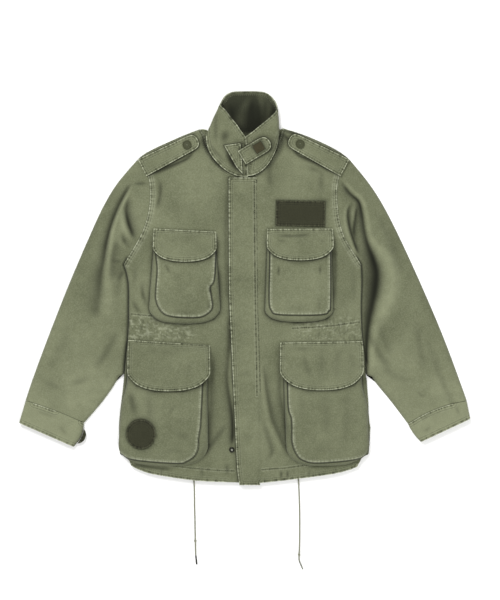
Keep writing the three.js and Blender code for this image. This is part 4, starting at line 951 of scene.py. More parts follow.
def thin_underside(piece):
    """Coarsens the flat underside of a shell, which is hidden on the layer below."""
    mesh = piece.data
    below = np.flatnonzero(normals_of(piece)[:, 2] < UNDERSIDE)
    group = piece.vertex_groups.new(name="underside")
    group.add(below.tolist(), 1.0, "REPLACE")
    share = sum(face.normal.z < UNDERSIDE for face in mesh.polygons) / len(mesh.polygons)
    apply_modifier(
        piece, "DECIMATE", ratio=1 - 0.8 * share, vertex_group=group.name, vertex_group_factor=1000.0
    )
    piece.vertex_groups.clear()


def crease_rim(mesh):
    """Keeps the cut edges of a shell sharp when it is subdivided."""
    shape = bmesh.new()
    shape.from_mesh(mesh)
    layer = shape.edges.layers.float.new("crease_edge")
    for edge in shape.edges:
        if len(edge.link_faces) == 2 and edge.calc_face_angle() > RIM_ANGLE:
            edge[layer] = 1.0
    shape.to_mesh(mesh)
    shape.free()


def flat_panel(node):
    """A thin panel on a plate's outline, cut into even cells, lying on the floor."""
    low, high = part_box(node)
    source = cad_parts[node].data
    shape = bmesh.new()
    shape.from_mesh(source)
    bmesh.ops.remove_doubles(shape, verts=shape.verts, dist=WELD)
    top = [face for face in shape.faces if face.normal.z < 0.5]
    bmesh.ops.delete(shape, geom=top, context="FACES")
    bmesh.ops.dissolve_limit(shape, angle_limit=0.01, verts=shape.verts, edges=shape.edges)
    step = PANEL_CELL * MM
    for axis in (0, 1):
        for i in range(1, int((high[axis] - low[axis]) / step)):
            place = Vector((0, 0, 0))
            place[axis] = low[axis] + i * step
            normal = Vector((0, 0, 0))
            normal[axis] = 1
            geometry = shape.verts[:] + shape.edges[:] + shape.faces[:]
            bmesh.ops.bisect_plane(shape, geom=geometry, plane_co=place, plane_no=normal)
    mesh = bpy.data.meshes.new(f"{node}_cloth")
    shape.to_mesh(mesh)
    shape.free()
    piece = new_object(f"{node}_cloth", mesh)
    apply_modifier(piece, "SOLIDIFY", thickness=high.z - low.z, offset=-1.0)
    return piece


def marks_along(shape):
    """Places about 1 mm apart along the sharp edges of a mesh."""
    marks = []
    for edge in shape.edges:
        if len(edge.link_faces) == 2 and edge.calc_face_angle() > RIM_ANGLE:
            start, end = (vert.co for vert in edge.verts)
            count = max(1, int((end - start).length / MM))
            marks.extend(start.lerp(end, i / count)[:] for i in range(count))
    return np.array(marks)


def solid_edges(node):
    """Places along the sharp edges of a node's solid."""
    if node not in solid_marks:
        shape = bmesh.new()
        shape.from_mesh(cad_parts[node].data)
        bmesh.ops.remove_doubles(shape, verts=shape.verts, dist=WELD)
        solid_marks[node] = marks_along(shape)
        shape.free()
    return solid_marks[node]


def nearest(places, marks):
    """Distance from each place to the nearest mark, and that mark."""
    if not len(marks):
        return np.full(len(places), 1.0), places.copy()
    tree = kdtree.KDTree(len(marks))
    for i, mark in enumerate(marks):
        tree.insert(mark, i)
    tree.balance()
    found = [tree.find(place) for place in places]
    return np.array([item[2] for item in found]), np.array([item[0][:] for item in found])


def measure_rim(piece, node):
    """Distances to the nearest cut, sewn and unsewn edge, and the place on the sewn one."""
    shape = bmesh.new()
    shape.from_mesh(piece.data)
    marks = marks_along(shape)
    shape.free()
    points = points_of(piece)
    plain = np.zeros(len(marks), bool)
    for name, boxes in SEAMLESS.items():
        if node.startswith(name):
            for x0, y0, x1, y1 in boxes:
                low, high = np.array([x0, y0]) * MM, np.array([x1, y1]) * MM
                plain |= np.all((marks[:, :2] > low) & (marks[:, :2] < high), axis=1)
    edge, _ = nearest(points, marks)
    seam, feet = nearest(points, marks[~plain])
    free, _ = nearest(points, marks[plain])
    return edge, seam, free, feet


def noise_values(places, size):
    """Smooth noise at each place, from -1 to 1, with marks about size metres wide."""
    return np.array([noise.noise(Vector(place) / size) for place in places])


def seam_relief(distance, feet):
    """Puckers and the raised fold along an edge or seam."""
    cloth = bpy.context.scene.jacket_cloth
    width = cloth.seam_width
    near = distance < 2 * width
    relief = np.zeros(len(distance))
    d = distance[near]
    beads = noise_values(feet[near], 0.0062)
    drag = noise_values(feet[near] + 3.0, 0.015)
    band = smoothstep(d / (0.25 * width)) * (1 - smoothstep((d - 0.5 * width) / width))
    fold = 1 - smoothstep((d - 0.8 * width) / (0.35 * width))
    relief[near] = band * cloth.pucker * (beads + 0.6 * drag) + cloth.ridge * fold
    return relief


def waist_gathers(points):
    """Small gathers where the waist cord draws the fronts in: height, worn lines and dark lines."""
    x = np.abs(points[:, 0]) / MM
    y = points[:, 1] / MM
    along = smoothstep((x - 96) / 30) * (1 - smoothstep((x - 262) / 8))
    band = smoothstep((y + 124) / 12) * (1 - smoothstep((y + 66) / 10)) * along
    near = band > 0.01
    level, upright = np.zeros(len(points)), np.zeros(len(points))
    level[near] = noise_values(points[near] * [1 / 0.018, 1 / 0.008, 0], 1.0)
    upright[near] = noise_values(points[near] * [1 / 0.008, 1 / 0.018, 0], 1.0)
    relief = (0.7 * level + 0.8 * upright) * band * 1.4 * MM
    worn = np.clip(1 - np.abs(level) / 0.1, 0, 1) * band
    folded = np.clip(1 - np.abs(upright) / 0.1, 0, 1) * band
    return relief, 0.55 * worn, 0.35 * folded


def broad_unevenness(points):
    """Slow swells of the cloth, as it never lies quite flat."""
    plan = points * IN_PLAN
    return 1.0 * MM * noise_values(plan, 0.055) + 0.4 * MM * noise_values(plan + 7.0, 0.02)


def shade_under(node, points):
    """Darkness of the cloth close beside the edges of what lies on it."""
    uppers = [name for name, facts in CLOTH_PIECES.items() if node in facts["on"]]
    if not uppers:
        return np.zeros(len(points))
    marks = []
    for name in uppers:
        edges = solid_edges(name)
        # The placket's right edge is one cloth with the front
        marks.append(edges[edges[:, 0] < 12 * MM] if name == "placket" else edges)
    distance, _ = nearest(points * IN_PLAN, np.vstack(marks) * IN_PLAN)
    uneven = 0.3 + 0.25 * noise_values(points * IN_PLAN, 0.045)
    soft = uneven * bell(distance / (8 * MM))
    return 1 - (1 - soft) * (1 - 0.75 * bell(distance / (2.3 * MM)))


def side_marks(node):
    """The edge of the body's side that a sleeve lies against."""
    body = solid_edges(f"front_{node.split('_')[1]}")
    return body[(np.abs(body[:, 0]) > 0.2) & (body[:, 1] < ARMPIT)] * IN_PLAN


def close_to_body(node, points):
    """Moves a sleeve's inner edge up to the body's side."""
    edge, foot = nearest(points * IN_PLAN, solid_edges(node) * IN_PLAN)
    gap, mark = nearest(foot, side_marks(node))
    pull = 1 - smoothstep((edge - 1 * MM) / (34 * MM))
    pull *= smoothstep((foot[:, 1] - SLEEVE_LEAVES) / (9 * MM)) * (1 - smoothstep((gap - 13 * MM) / (3 * MM)))
    away = (mark - foot) * (1 - 0.3 * MM / np.maximum(gap, 0.3 * MM))[:, None]
    points += away * pull[:, None]


def shade_beside_body(node, points):
    """Darkness of a sleeve close beside the body."""
    reach, _ = nearest(points * IN_PLAN, side_marks(node))
    return 0.85 * bell(reach / (5 * MM))


def hem_notch(points):
    """Draws the body in at the hem, where the lower pouches stand past it."""
    x, y = points[:, 0] / MM, points[:, 1] / MM
    low = smoothstep((-370 - y) / 10)
    side = smoothstep((np.abs(x) - 190) / 80)
    points[:, 0] -= np.sign(x) * HEM_DRAW * MM * low * side


def shift_edges(node, points):
    """Moves the piece's outline from its solid's where the photograph differs a little."""
    if node.startswith("sleeve"):
        close_to_body(node, points)
    if node.startswith(("front", "back")):
        hem_notch(points)
    if node in SPREAD:
        aside, down = SPREAD[node]
        x, y = np.abs(points[:, 0]) / MM, points[:, 1] / MM
        points[:, 0] += aside * MM * smoothstep((x - 240) / 30) * smoothstep((-205 - y) / 70)
        points[:, 1] += down * MM * smoothstep((-350 - y) / 35)


def gusset_folds(node, points, edge):
    """Sinks the folded gusset beside a pouch's face, with painted shade in its slit and worn edges."""
    line = curve_through(np.array(GUSSETS[node], float) * MM, 5)
    distance, _, side, foot = distance_to_line(points[:, :2], line)
    centre = (points[:, :2].min(0) + points[:, :2].max(0)) / 2
    _, _, inner, _ = distance_to_line(centre[None], line)
    inside = distance * side * inner[0] / MM
    sunk = -2.2 * (1 - smoothstep((inside + 2.5) / 2.5))
    slit = bell((inside + 1.2) / 1.7)
    ridge = bell((inside - 1.8) / 1.8)
    top = points[:, 2] > 6 * MM
    relief = (sunk - 1.6 * slit + 0.5 * ridge) * MM * top
    wear = 0.6 * ridge + 0.4 * bell(edge / (2 * MM)) * (inside < -3)
    return relief, 0.95 * slit, wear, (np.abs(inside - GUSSET_ROW) + 1.5) * MM, foot


def set_tones(piece, fade, wear, dark, feet, seam, row):
    """Gives the shader each point's fading with painted highlights, wear, painted shade and distances to
    seams and rows.
    """
    set_attribute(piece, "fade", fade)
    set_attribute(piece, "wear", np.clip(wear, 0, 1))
    set_attribute(piece, "hollow", np.clip(dark, 0, 1))
    set_attribute(piece, "foot", feet)
    set_attribute(piece, "seam", seam)
    set_attribute(piece, "row", row)


def dress_cloth(node):
    """Makes the cloth of one laid piece, with its creases, puckers and wear."""
    piece = cloth_shell(node)
    points = points_of(piece)
    shift_edges(node, points)
    set_points(piece, points)
    floor = np.minimum(points[:, 2], 3 * MM)
    edge, seam, free, feet = measure_rim(piece, node)
    height, dark, light = crease_lines(node, points)
    wear = np.zeros(len(points))
    row = np.full(len(points), 1.0)
    if node.startswith(LAID_ON_FRONTS):
        shared, shared_dark, shared_light = crease_lines("front", points)
        calm = smoothstep(edge / (20 * MM)) if node.startswith("front") else 1.0
        height += shared + broad_unevenness(points) * calm
        if node.startswith("front"):
            gathers, worn, folded = waist_gathers(points)
            height += gathers
            armhole = (np.abs(points[:, 0]) > 0.19) & (points[:, 1] > 0.045) & (points[:, 1] < 0.29)
            wear += worn + 0.2 * armhole * (1 - smoothstep((seam - 10 * MM) / (6 * MM)))
            dark = 1 - (1 - dark) * (1 - shared_dark) * (1 - folded)
            light = np.maximum(light, shared_light)
    elif node.startswith(("sleeve", "cuff")):
        height += broad_unevenness(points) * smoothstep(edge / (20 * MM))
    relief = seam_relief(seam, feet)
    if node in GUSSETS:
        sunk, slit, rubbed, row, foot = gusset_folds(node, points, edge)
        relief += sunk
        wear += rubbed
        dark = 1 - (1 - dark) * (1 - slit)
        feet = np.column_stack([foot, np.zeros(len(foot))])
    for name, line in SEAM_LINES.items():
        if node.startswith(("front", "placket")) and name.startswith("placket") == (node == "placket"):
            away, _, _, foot = distance_to_line(points[:, :2], np.array(line) * MM)
            close = away < np.minimum(row, 7 * MM)
            row[close] = away[close]
            feet[close, :2] = foot[close]
            relief -= 0.5 * MM * (1 - smoothstep(away / (2.5 * MM)))
            relief += 0.5 * MM * (1 - smoothstep(away / (6 * MM))) * noise_values(points * IN_PLAN, 0.006)
    dark = 1 - (1 - dark) * (1 - shade_under(node, points))
    if node == "placket":
        relief -= 2.6 * MM * (1 - smoothstep(free / (9 * MM)))
    if node == "collar":
        outward = points - np.array(COLLAR_MIDDLE)
        outward[:, 1] = 0
        outward /= np.linalg.norm(outward, axis=1)[:, None] + 1e-9
        points += outward * (relief + collar_folds(points))[:, None]
        dark = np.maximum(dark, inside_collar(piece, outward, points, seam))
    else:
        points[:, 2] += height + relief
        points[:, 2] = np.maximum(points[:, 2], floor)
    if node.startswith("sleeve"):
        dark = np.maximum(dark, shade_beside_body(node, points))
    points[:, 2] = np.maximum(points[:, 2], 0.0)
    set_points(piece, points)
    # The painted highlights beside folds go in with the fading
    fade = 0.7 * light
    if node.startswith("cuff"):
        fade += 0.9
    if node.startswith("sleeve"):
        fade += 0.55 * smoothstep((-60 * MM - points[:, 1]) / (200 * MM))
    set_tones(piece, fade, wear, dark, feet, seam, row)
    close_piece(piece, node)
    if node == "patch_round":
        lift_clear(piece, made["pouch_lower_right_cloth"])


def lift_clear(piece, below):
    """Raises a piece so that it lies on the cloth below it."""
    tree = surface_of(below)
    need = 0.0
    for vert in piece.data.vertices:
        place, _, _, _ = tree.ray_cast(Vector((vert.co.x, vert.co.y, 0.2)), Vector((0, 0, -1)))
        if place and vert.normal.z < -0.3:
            need = max(need, place.z + 0.2 * MM - vert.co.z)
    points = points_of(piece)
    points[:, 2] += need
    set_points(piece, points)


def surface_of(piece):
    """A tree of a mesh's faces, for rays."""
    mesh = piece.data
    verts = [vert.co for vert in mesh.vertices]
    return BVHTree.FromPolygons(verts, [tuple(face.vertices) for face in mesh.polygons])


def close_piece(piece, node):
    """Gives a cloth piece its material and smooth shading, and sets it on the body."""
    # The cuff tab takes the dark patch cloth as painted shade, since it lies in shadow under the cuff
    slot = "dark_cloth" if "patch" in node or node == "cuff_tab" else "cotton"
    piece.data.materials.append(finishes["rubbed_patch" if node == "throat_patch" else slot])
    activate(piece)
    bpy.ops.object.shade_smooth_by_angle(angle=math.radians(40))
    finish_piece(piece, slot, node)


def collar_folds(points):
    """Soft upright folds round the collar."""
    x, y = points[:, 0] / MM, points[:, 1] / MM
    turn = np.arctan2(points[:, 2] - COLLAR_MIDDLE.z, points[:, 0])
    wave = np.sin(turn * 9 + 0.02 * y) * 0.5 + np.sin(turn * 17 + 1.3 + 0.03 * x) * 0.3
    return wave * 0.9 * MM


def inside_collar(piece, outward, points, seam):
    """Darkness of the face that looks into the neck: its darker unfaded cloth and painted shade, deepest low
    down, with the painted shade and highlights of its folds.
    """
    facing = np.sum(normals_of(piece) * outward, axis=1)
    _, folded, lit = crease_lines("collar_inside", points)
    depth = 0.95 - 0.09 * smoothstep((points[:, 1] - 0.39) / 0.04)
    depth = 1 - (1 - depth) * (1 - folded) - 0.16 * lit
    rim = (1 - smoothstep((seam - 3 * MM) / (6 * MM))) * smoothstep((points[:, 1] - 0.39) / 0.02)
    depth *= 1 - 0.45 * rim
    return np.clip(depth, 0, 0.99) * smoothstep((-facing - 0.05) / 0.2)


def dress_panel(node):
    """Makes a panel that lies on the floor, its underside lifted a little in soft creases."""
    piece = flat_panel(node)
    points = points_of(piece)
    shift_edges(node, points)
    set_points(piece, points)
    edge, seam, _, feet = measure_rim(piece, node)
    height, dark, _ = crease_lines(node, points + [0, 0, 10 * MM])
    under = points[:, 2] < 1 * MM
    lift = np.maximum(height, 0) + np.maximum(0.4 * broad_unevenness(points), 0)
    points[under, 2] += np.minimum(lift[under] * smoothstep(edge[under] / (12 * MM)), 1.3 * MM)
    if node == "back":
        # The back neck rises behind the collar, and its raised part is painted dark with the shade inside the
        # collar
        rise = bell(points[:, 0] / 0.045) * smoothstep((points[:, 1] - 0.28) / 0.06)
        points[:, 1] += NECK_RISE * MM * rise
        dark = np.maximum(dark, 0.97 * rise * (points[:, 2] > 1 * MM))
    else:
        dark = np.maximum(dark, shade_beside_body(node, points))
    set_points(piece, points)
    plain = np.zeros(len(points))
    set_tones(piece, plain, plain, dark, feet, seam, plain + 1.0)
    close_piece(piece, node)


# Stitching


def contour(piece, level, facing):
    """Lines on a piece's faces at one distance from its cut edge, with the face normals."""
    mesh = piece.data
    points = points_of(piece)
    rim = np.empty(len(mesh.vertices), np.float32)
    mesh.attributes["seam"].data.foreach_get("value", rim)
    ends = np.empty(len(mesh.edges) * 2, np.int32)
    mesh.edges.foreach_get("vertices", ends)
    ends = ends.reshape(-1, 2)
    first, second = rim[ends[:, 0]], rim[ends[:, 1]]
    crossing = (first < level) != (second < level)
    share = (level - first) / np.where(second == first, 1, second - first)
    places = points[ends[:, 0]] + share[:, None] * (points[ends[:, 1]] - points[ends[:, 0]])
    neighbours = {}
    normals = {}
    for face in mesh.polygons:
        if face.normal.z * facing < 0.25:
            continue
        cut = [mesh.loops[i].edge_index for i in face.loop_indices if crossing[mesh.loops[i].edge_index]]
        if len(cut) == 2:
            neighbours.setdefault(cut[0], []).append(cut[1])
            neighbours.setdefault(cut[1], []).append(cut[0])
            normals[cut[0]] = normals[cut[1]] = face.normal.copy()
    return [([places[i] for i in chain], [normals[i] for i in chain]) for chain in chains(neighbours)]


def chains(neighbours):
    """Joins linked marks into lines, the open ones from their ends."""
    left = dict(neighbours)
    starts = [key for key, linked in neighbours.items() if len(linked) == 1]
    starts += list(neighbours)
    lines = []
    for start in starts:
        if start not in left:
            continue
        line = [start]
        left.pop(start)
        while True:
            following = [key for key in neighbours[line[-1]] if key in left]
            if not following:
                break
            line.append(following[0])
            left.pop(following[0])
        if len(line) > 3:
            lines.append(line)
    return lines


def draped_line(line, pieces):
    """An open line in plan laid on the pieces below it, with the face normals."""
    trees = [surface_of(piece) for piece in pieces]
    places, normals = [], []
    rows = np.array(line, float) * MM
    lengths = np.linalg.norm(np.diff(rows, axis=0), axis=1)
    for i, length in enumerate(lengths):
        for t in np.arange(0, 1, 2 * MM / length):
            x, y = rows[i] + t * (rows[i + 1] - rows[i])
            hits = [tree.ray_cast(Vector((x, y, 0.2)), Vector((0, 0, -1))) for tree in trees]
            hits = [hit for hit in hits if hit[0] is not None]
            if hits:
                place, normal, _, _ = max(hits, key=lambda hit: hit[0].z)
                places.append(np.array(place))
                normals.append(normal)
    return places, normals


def inset_line(line, inset):
    """A line moved inwards, towards the middle of its ends and bends, in millimetres."""
    rows = np.array(line, float)
    steps = np.gradient(rows, axis=0)
    normals = np.column_stack([-steps[:, 1], steps[:, 0]])
    normals /= np.linalg.norm(normals, axis=1)[:, None]
    middle = (rows.min(0) + rows.max(0)) / 2
    inward = np.sign(np.sum(normals * (middle - rows), axis=1).sum())
    return rows + inset * inward * normals


STITCH_RING = 5
# The collar's inner foot, where no stitch is seen
BARE_NECK = (np.array([-60, 320, -1]) * MM, np.array([60, 402, 12]) * MM)


def stitch_template():
    """One stitch along x: pointed ends that dip into the cloth and a round middle."""
    rings = [(-0.5, 0.0, -0.6), (-0.3, 0.9, 0.3), (0.0, 1.0, 0.6), (0.3, 0.9, 0.3), (0.5, 0.0, -0.6)]
    verts, faces = [], []
    for along, width, lift in rings[1:-1]:
        for k in range(STITCH_RING):
            turn = 2 * math.pi * k / STITCH_RING
            verts.append((along, width * math.cos(turn), lift + width * math.sin(turn)))
    count = len(rings) - 2
    for j in range(count - 1):
        for k in range(STITCH_RING):
            a = j * STITCH_RING + k
            b = j * STITCH_RING + (k + 1) % STITCH_RING
            faces.append((a, b, b + STITCH_RING, a + STITCH_RING))
    for tip, ring in ((rings[0], 0), (rings[-1], count - 1)):
        verts.append((tip[0], 0.0, tip[2]))
        for k in range(STITCH_RING):
            a = ring * STITCH_RING + k
            b = ring * STITCH_RING + (k + 1) % STITCH_RING
            faces.append((len(verts) - 1, b, a) if ring == 0 else (len(verts) - 1, a, b))
    return np.array(verts), faces


def sew(name, lines):
    """Lays stitches along lines of places and normals, joined as one piece."""
    cloth = bpy.context.scene.jacket_cloth
    template, template_faces = stitch_template()
    verts, faces = [], []
    for places, normals in lines:
        places = np.array(places)
        if len(places) < 3:
            continue
        run = run_along(places)
        count = int((run[-1] - cloth.stitch_length) / cloth.stitch_pitch)
        for i in range(count + 1):
            start = i * cloth.stitch_pitch
            a, b = (
                np.array([np.interp(s, run, places[:, k]) for k in range(3)])
                for s in (start, start + cloth.stitch_length)
            )
            along = Vector(b - a)
            middle = (a + b) / 2
            hidden = np.all((middle > BARE_NECK[0]) & (middle < BARE_NECK[1]))
            if hidden or along.length < 0.5 * cloth.stitch_length:
                continue
            normal = normals[min(len(normals) - 1, int(np.searchsorted(run, start)))]
            along.normalize()
            across = normal.cross(along).normalized()
            up = along.cross(across)
            basis = np.array([along, across, up])
            scale = np.array([cloth.stitch_length, cloth.thread_radius, cloth.thread_radius])
            placed = (template * scale) @ basis + middle
            placed[:, 2] = np.maximum(placed[:, 2], 0.0)
            base = len(verts)
            verts.extend(map(tuple, placed))
            faces.extend(tuple(base + k for k in face) for face in template_faces)
    mesh = bpy.data.meshes.new(name)
    mesh.from_pydata(verts, [], faces)
    piece = new_object(name, mesh)
    mesh.materials.append(finishes["thread"])
    mesh.shade_smooth()
    finish_piece(piece, "cotton")


# Drawcords


def smooth_route(points, step):
    """A smooth curve through the route's points, in metres, with even steps."""
    fine = curve_through(np.array(points, float) * MM, 24)
    run = run_along(fine)
    even = np.linspace(0, run[-1], int(run[-1] / step) + 1)
    return np.column_stack([np.interp(even, run, fine[:, k]) for k in range(3)]), run[-1]


def braided_tube(name, path, radius, sides=20, strands=4, lay=6.0):
    """A tube with the crossing strands of a round braid raised on it."""
    verts, hollow = [], []
    previous = Vector((1, 0, 0))
    run = 0.0
    for i, place in enumerate(path):
        ahead = Vector(path[min(i + 1, len(path) - 1)] - path[max(i - 1, 0)]).normalized()
        side = (previous - ahead * previous.dot(ahead)).normalized()
        up = ahead.cross(side)
        previous = side
        if i:
            run += float(np.linalg.norm(path[i] - path[i - 1]))
        for k in range(sides):
            turn = 2 * math.pi * k / sides
            phase = 2 * math.pi * run / (lay * MM)
            strand = math.cos(strands * turn + phase) * math.cos(strands * turn - phase)
            reach = radius * (0.94 + 0.08 * strand)
            point = Vector(place) + (side * math.cos(turn) + up * math.sin(turn)) * reach
            verts.append(point)
            hollow.append(0.5 - 0.5 * strand)
    faces = []
    for i in range(len(path) - 1):
        for k in range(sides):
            a, b = i * sides + k, i * sides + (k + 1) % sides
            faces.append((a, b, b + sides, a + sides))
    last = (len(path) - 1) * sides
    faces.append(tuple(reversed(range(sides))))
    faces.append(tuple(last + k for k in range(sides)))
    mesh = bpy.data.meshes.new(name)
    mesh.from_pydata(verts, [], faces)
    piece = new_object(name, mesh)
    set_attribute(piece, "hollow", np.array(hollow) * 0.7)
    mesh.materials.append(finishes["cord"])
    mesh.shade_smooth()
    return piece


def knot_on(side, centre, ahead):
    """An overhand knot: two crossed wraps round the cord."""
    radius = bpy.context.scene.jacket_trim.cord_diameter / 2
    wraps = []
    for tilt in (0.45, -0.45):
        turn = Vector((0, 0, 1)).rotation_difference(ahead)
        bpy.ops.mesh.primitive_torus_add(
            location=centre + ahead * tilt * 2.2 * MM,
            rotation=(turn.to_matrix() @ Matrix.Rotation(tilt, 3, "X")).to_euler(),
            major_radius=1.15 * radius,
            minor_radius=0.68 * radius,
            major_segments=28,
            minor_segments=12,
        )
        wraps.append(bpy.context.object)
    activate(*wraps)
    bpy.ops.object.join()
    knot = bpy.context.object
    knot.name = f"knot_{side}_cord"
    bpy.ops.object.transform_apply(location=True, rotation=True, scale=True)
    bpy.ops.object.shade_smooth()
    knot.data.materials.append(finishes["cord"])
    finish_piece(knot, "cord", f"knot_{side}")
    return knot


def round_aglet(side):
    """A crimped metal tip on the cord's end, turned along its solid."""
    points = points_of(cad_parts[f"aglet_{side}"])
    centre = points.mean(0)
    axis = np.linalg.svd(points - centre)[2][0]
    if axis[1] > 0:
        axis = -axis
    reach = (points - centre) @ axis
    start, length = reach.min(), reach.max() - reach.min()
    radius = 1.62 * MM
    bpy.ops.object.select_all(action="DESELECT")
    bpy.ops.mesh.primitive_cylinder_add(vertices=32, radius=radius, depth=length)
    tip = bpy.context.object
    tip.name = f"aglet_{side}_tip"
    bpy.ops.object.mode_set(mode="EDIT")
    bpy.ops.mesh.select_all(action="SELECT")
    bpy.ops.mesh.bevel(offset=0.5 * MM, segments=3, affect="EDGES")
    bpy.ops.object.mode_set(mode="OBJECT")
    turn = Vector((0, 0, 1)).rotation_difference(Vector(axis))
    middle = Vector(centre + axis * (start + length / 2))
    tip.matrix_world = Matrix.Translation(middle) @ turn.to_matrix().to_4x4()
    activate(tip)
    bpy.ops.object.transform_apply(location=True, rotation=True, scale=True)
    bpy.ops.object.shade_smooth_by_angle(angle=math.radians(35))
    slot = "dark_metal" if side == "right" else "grey_metal"
    tip.data.materials.append(finishes[slot])
    finish_piece(tip, slot, f"aglet_{side}")
    return tip


# Operators


# Each step raises a button's outline in millimetres and changes its width: side, rounded rim, dish
BUTTON_STEPS = (
    (1.0, 1.075),
    (1.4, 1.0),
    (0.7, 0.95),
    (0.2, 0.9),
    (-0.3, 0.93),
    (-0.7, 0.93),
    (0.0, 0.5),
)
# The frame of the photograph in pixels, and the pixel of the jacket's origin
FRAME_SIZE = (500, 600)
ORIGIN_PIXEL = (244, 288)
# Place and size of each light in metres, and its power in watts
LIGHTS = (("key", (-0.9, 1.9, 2.4), 1.4, 75), ("fill", (0.9, -1.9, 2.8), 2.4, 57))


class JACKET_OT_camera(bpy.types.Operator):
    """Places the camera straight above the jacket, framed as the photograph is."""

    bl_idname = "jacket.camera"
    bl_label = "Camera"

    def execute(self, context):
        stage = context.scene.jacket_stage
        x = (FRAME_SIZE[0] / 2 - ORIGIN_PIXEL[0]) * stage.pixel
        y = (ORIGIN_PIXEL[1] - FRAME_SIZE[1] / 2) * stage.pixel
        data = bpy.data.cameras.new("camera")
        data.sensor_width = 36.0
        data.lens = data.sensor_width * stage.camera_height / (FRAME_SIZE[1] * stage.pixel)
        data.clip_end = 20.0
        camera = bpy.data.objects.new("camera", data)
        context.collection.objects.link(camera)
        camera.location = (x, y, stage.camera_height)
        context.scene.camera = camera
        return {"FINISHED"}


class JACKET_OT_cords(bpy.types.Operator):
    """Makes the two hem drawcords with their knots and aglets."""

    bl_idname = "jacket.cords"
    bl_label = "Drawcords"

    def execute(self, context):
        diameter = context.scene.jacket_trim.cord_diameter
        for side, route in CORD_ROUTES.items():
            path, length = smooth_route(route, 0.7 * MM)
            cord = braided_tube(f"cord_{side}_braid", path, diameter / 2)
            finish_piece(cord, "cord", f"cord_{side}")
            ahead = Vector(route[KNOT_POINT + 1]) - Vector(route[KNOT_POINT - 1])
            low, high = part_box(f"knot_{side}")
            knot = knot_on(side, (low + high) / 2, ahead.normalized())
            tip = round_aglet(side)
        return {"FINISHED"}


class JACKET_OT_body(bpy.types.Operator):
    """Makes the back, the fronts and the placket."""

    bl_idname = "jacket.body"
    bl_label = "Body"

    def execute(self, context):
        dress_panel("back")
        for node in ("front_right", "front_left", "placket"):
            dress_cloth(node)
        return {"FINISHED"}


class JACKET_OT_sleeves(bpy.types.Operator):
    """Makes both layers of the sleeves and the cuffs."""

    bl_idname = "jacket.sleeves"
    bl_label = "Sleeves"

    def execute(self, context):
        for side in ("right", "left"):
            dress_panel(f"sleeve_{side}_under")
            dress_cloth(f"sleeve_{side}_upper")
            dress_cloth(f"cuff_{side}")
        return {"FINISHED"}


class JACKET_OT_pockets(bpy.types.Operator):
    """Makes the bellows pockets and their flaps."""

    bl_idname = "jacket.pockets"
    bl_label = "Pockets"

    def execute(self, context):
        for place in ("chest", "lower"):
            for side in ("right", "left"):
                dress_cloth(f"pouch_{place}_{side}")
                dress_cloth(f"flap_{place}_{side}")
        return {"FINISHED"}


class JACKET_OT_collar(bpy.types.Operator):
    """Makes the collar, its square end and the throat tab."""

    bl_idname = "jacket.collar"
    bl_label = "Collar"

    def execute(self, context):
        for node in ("collar", "collar_end", "throat_tab", "throat_patch"):
            dress_cloth(node)
        return {"FINISHED"}


class JACKET_OT_straps(bpy.types.Operator):
    """Makes the epaulettes, the cuff tab and the two patches."""

    bl_idname = "jacket.straps"
    bl_label = "Straps and patches"

    def execute(self, context):
        for node in ("epaulette_right", "epaulette_left", "patch_rectangle", "patch_round", "cuff_tab"):
            dress_cloth(node)
        return {"FINISHED"}


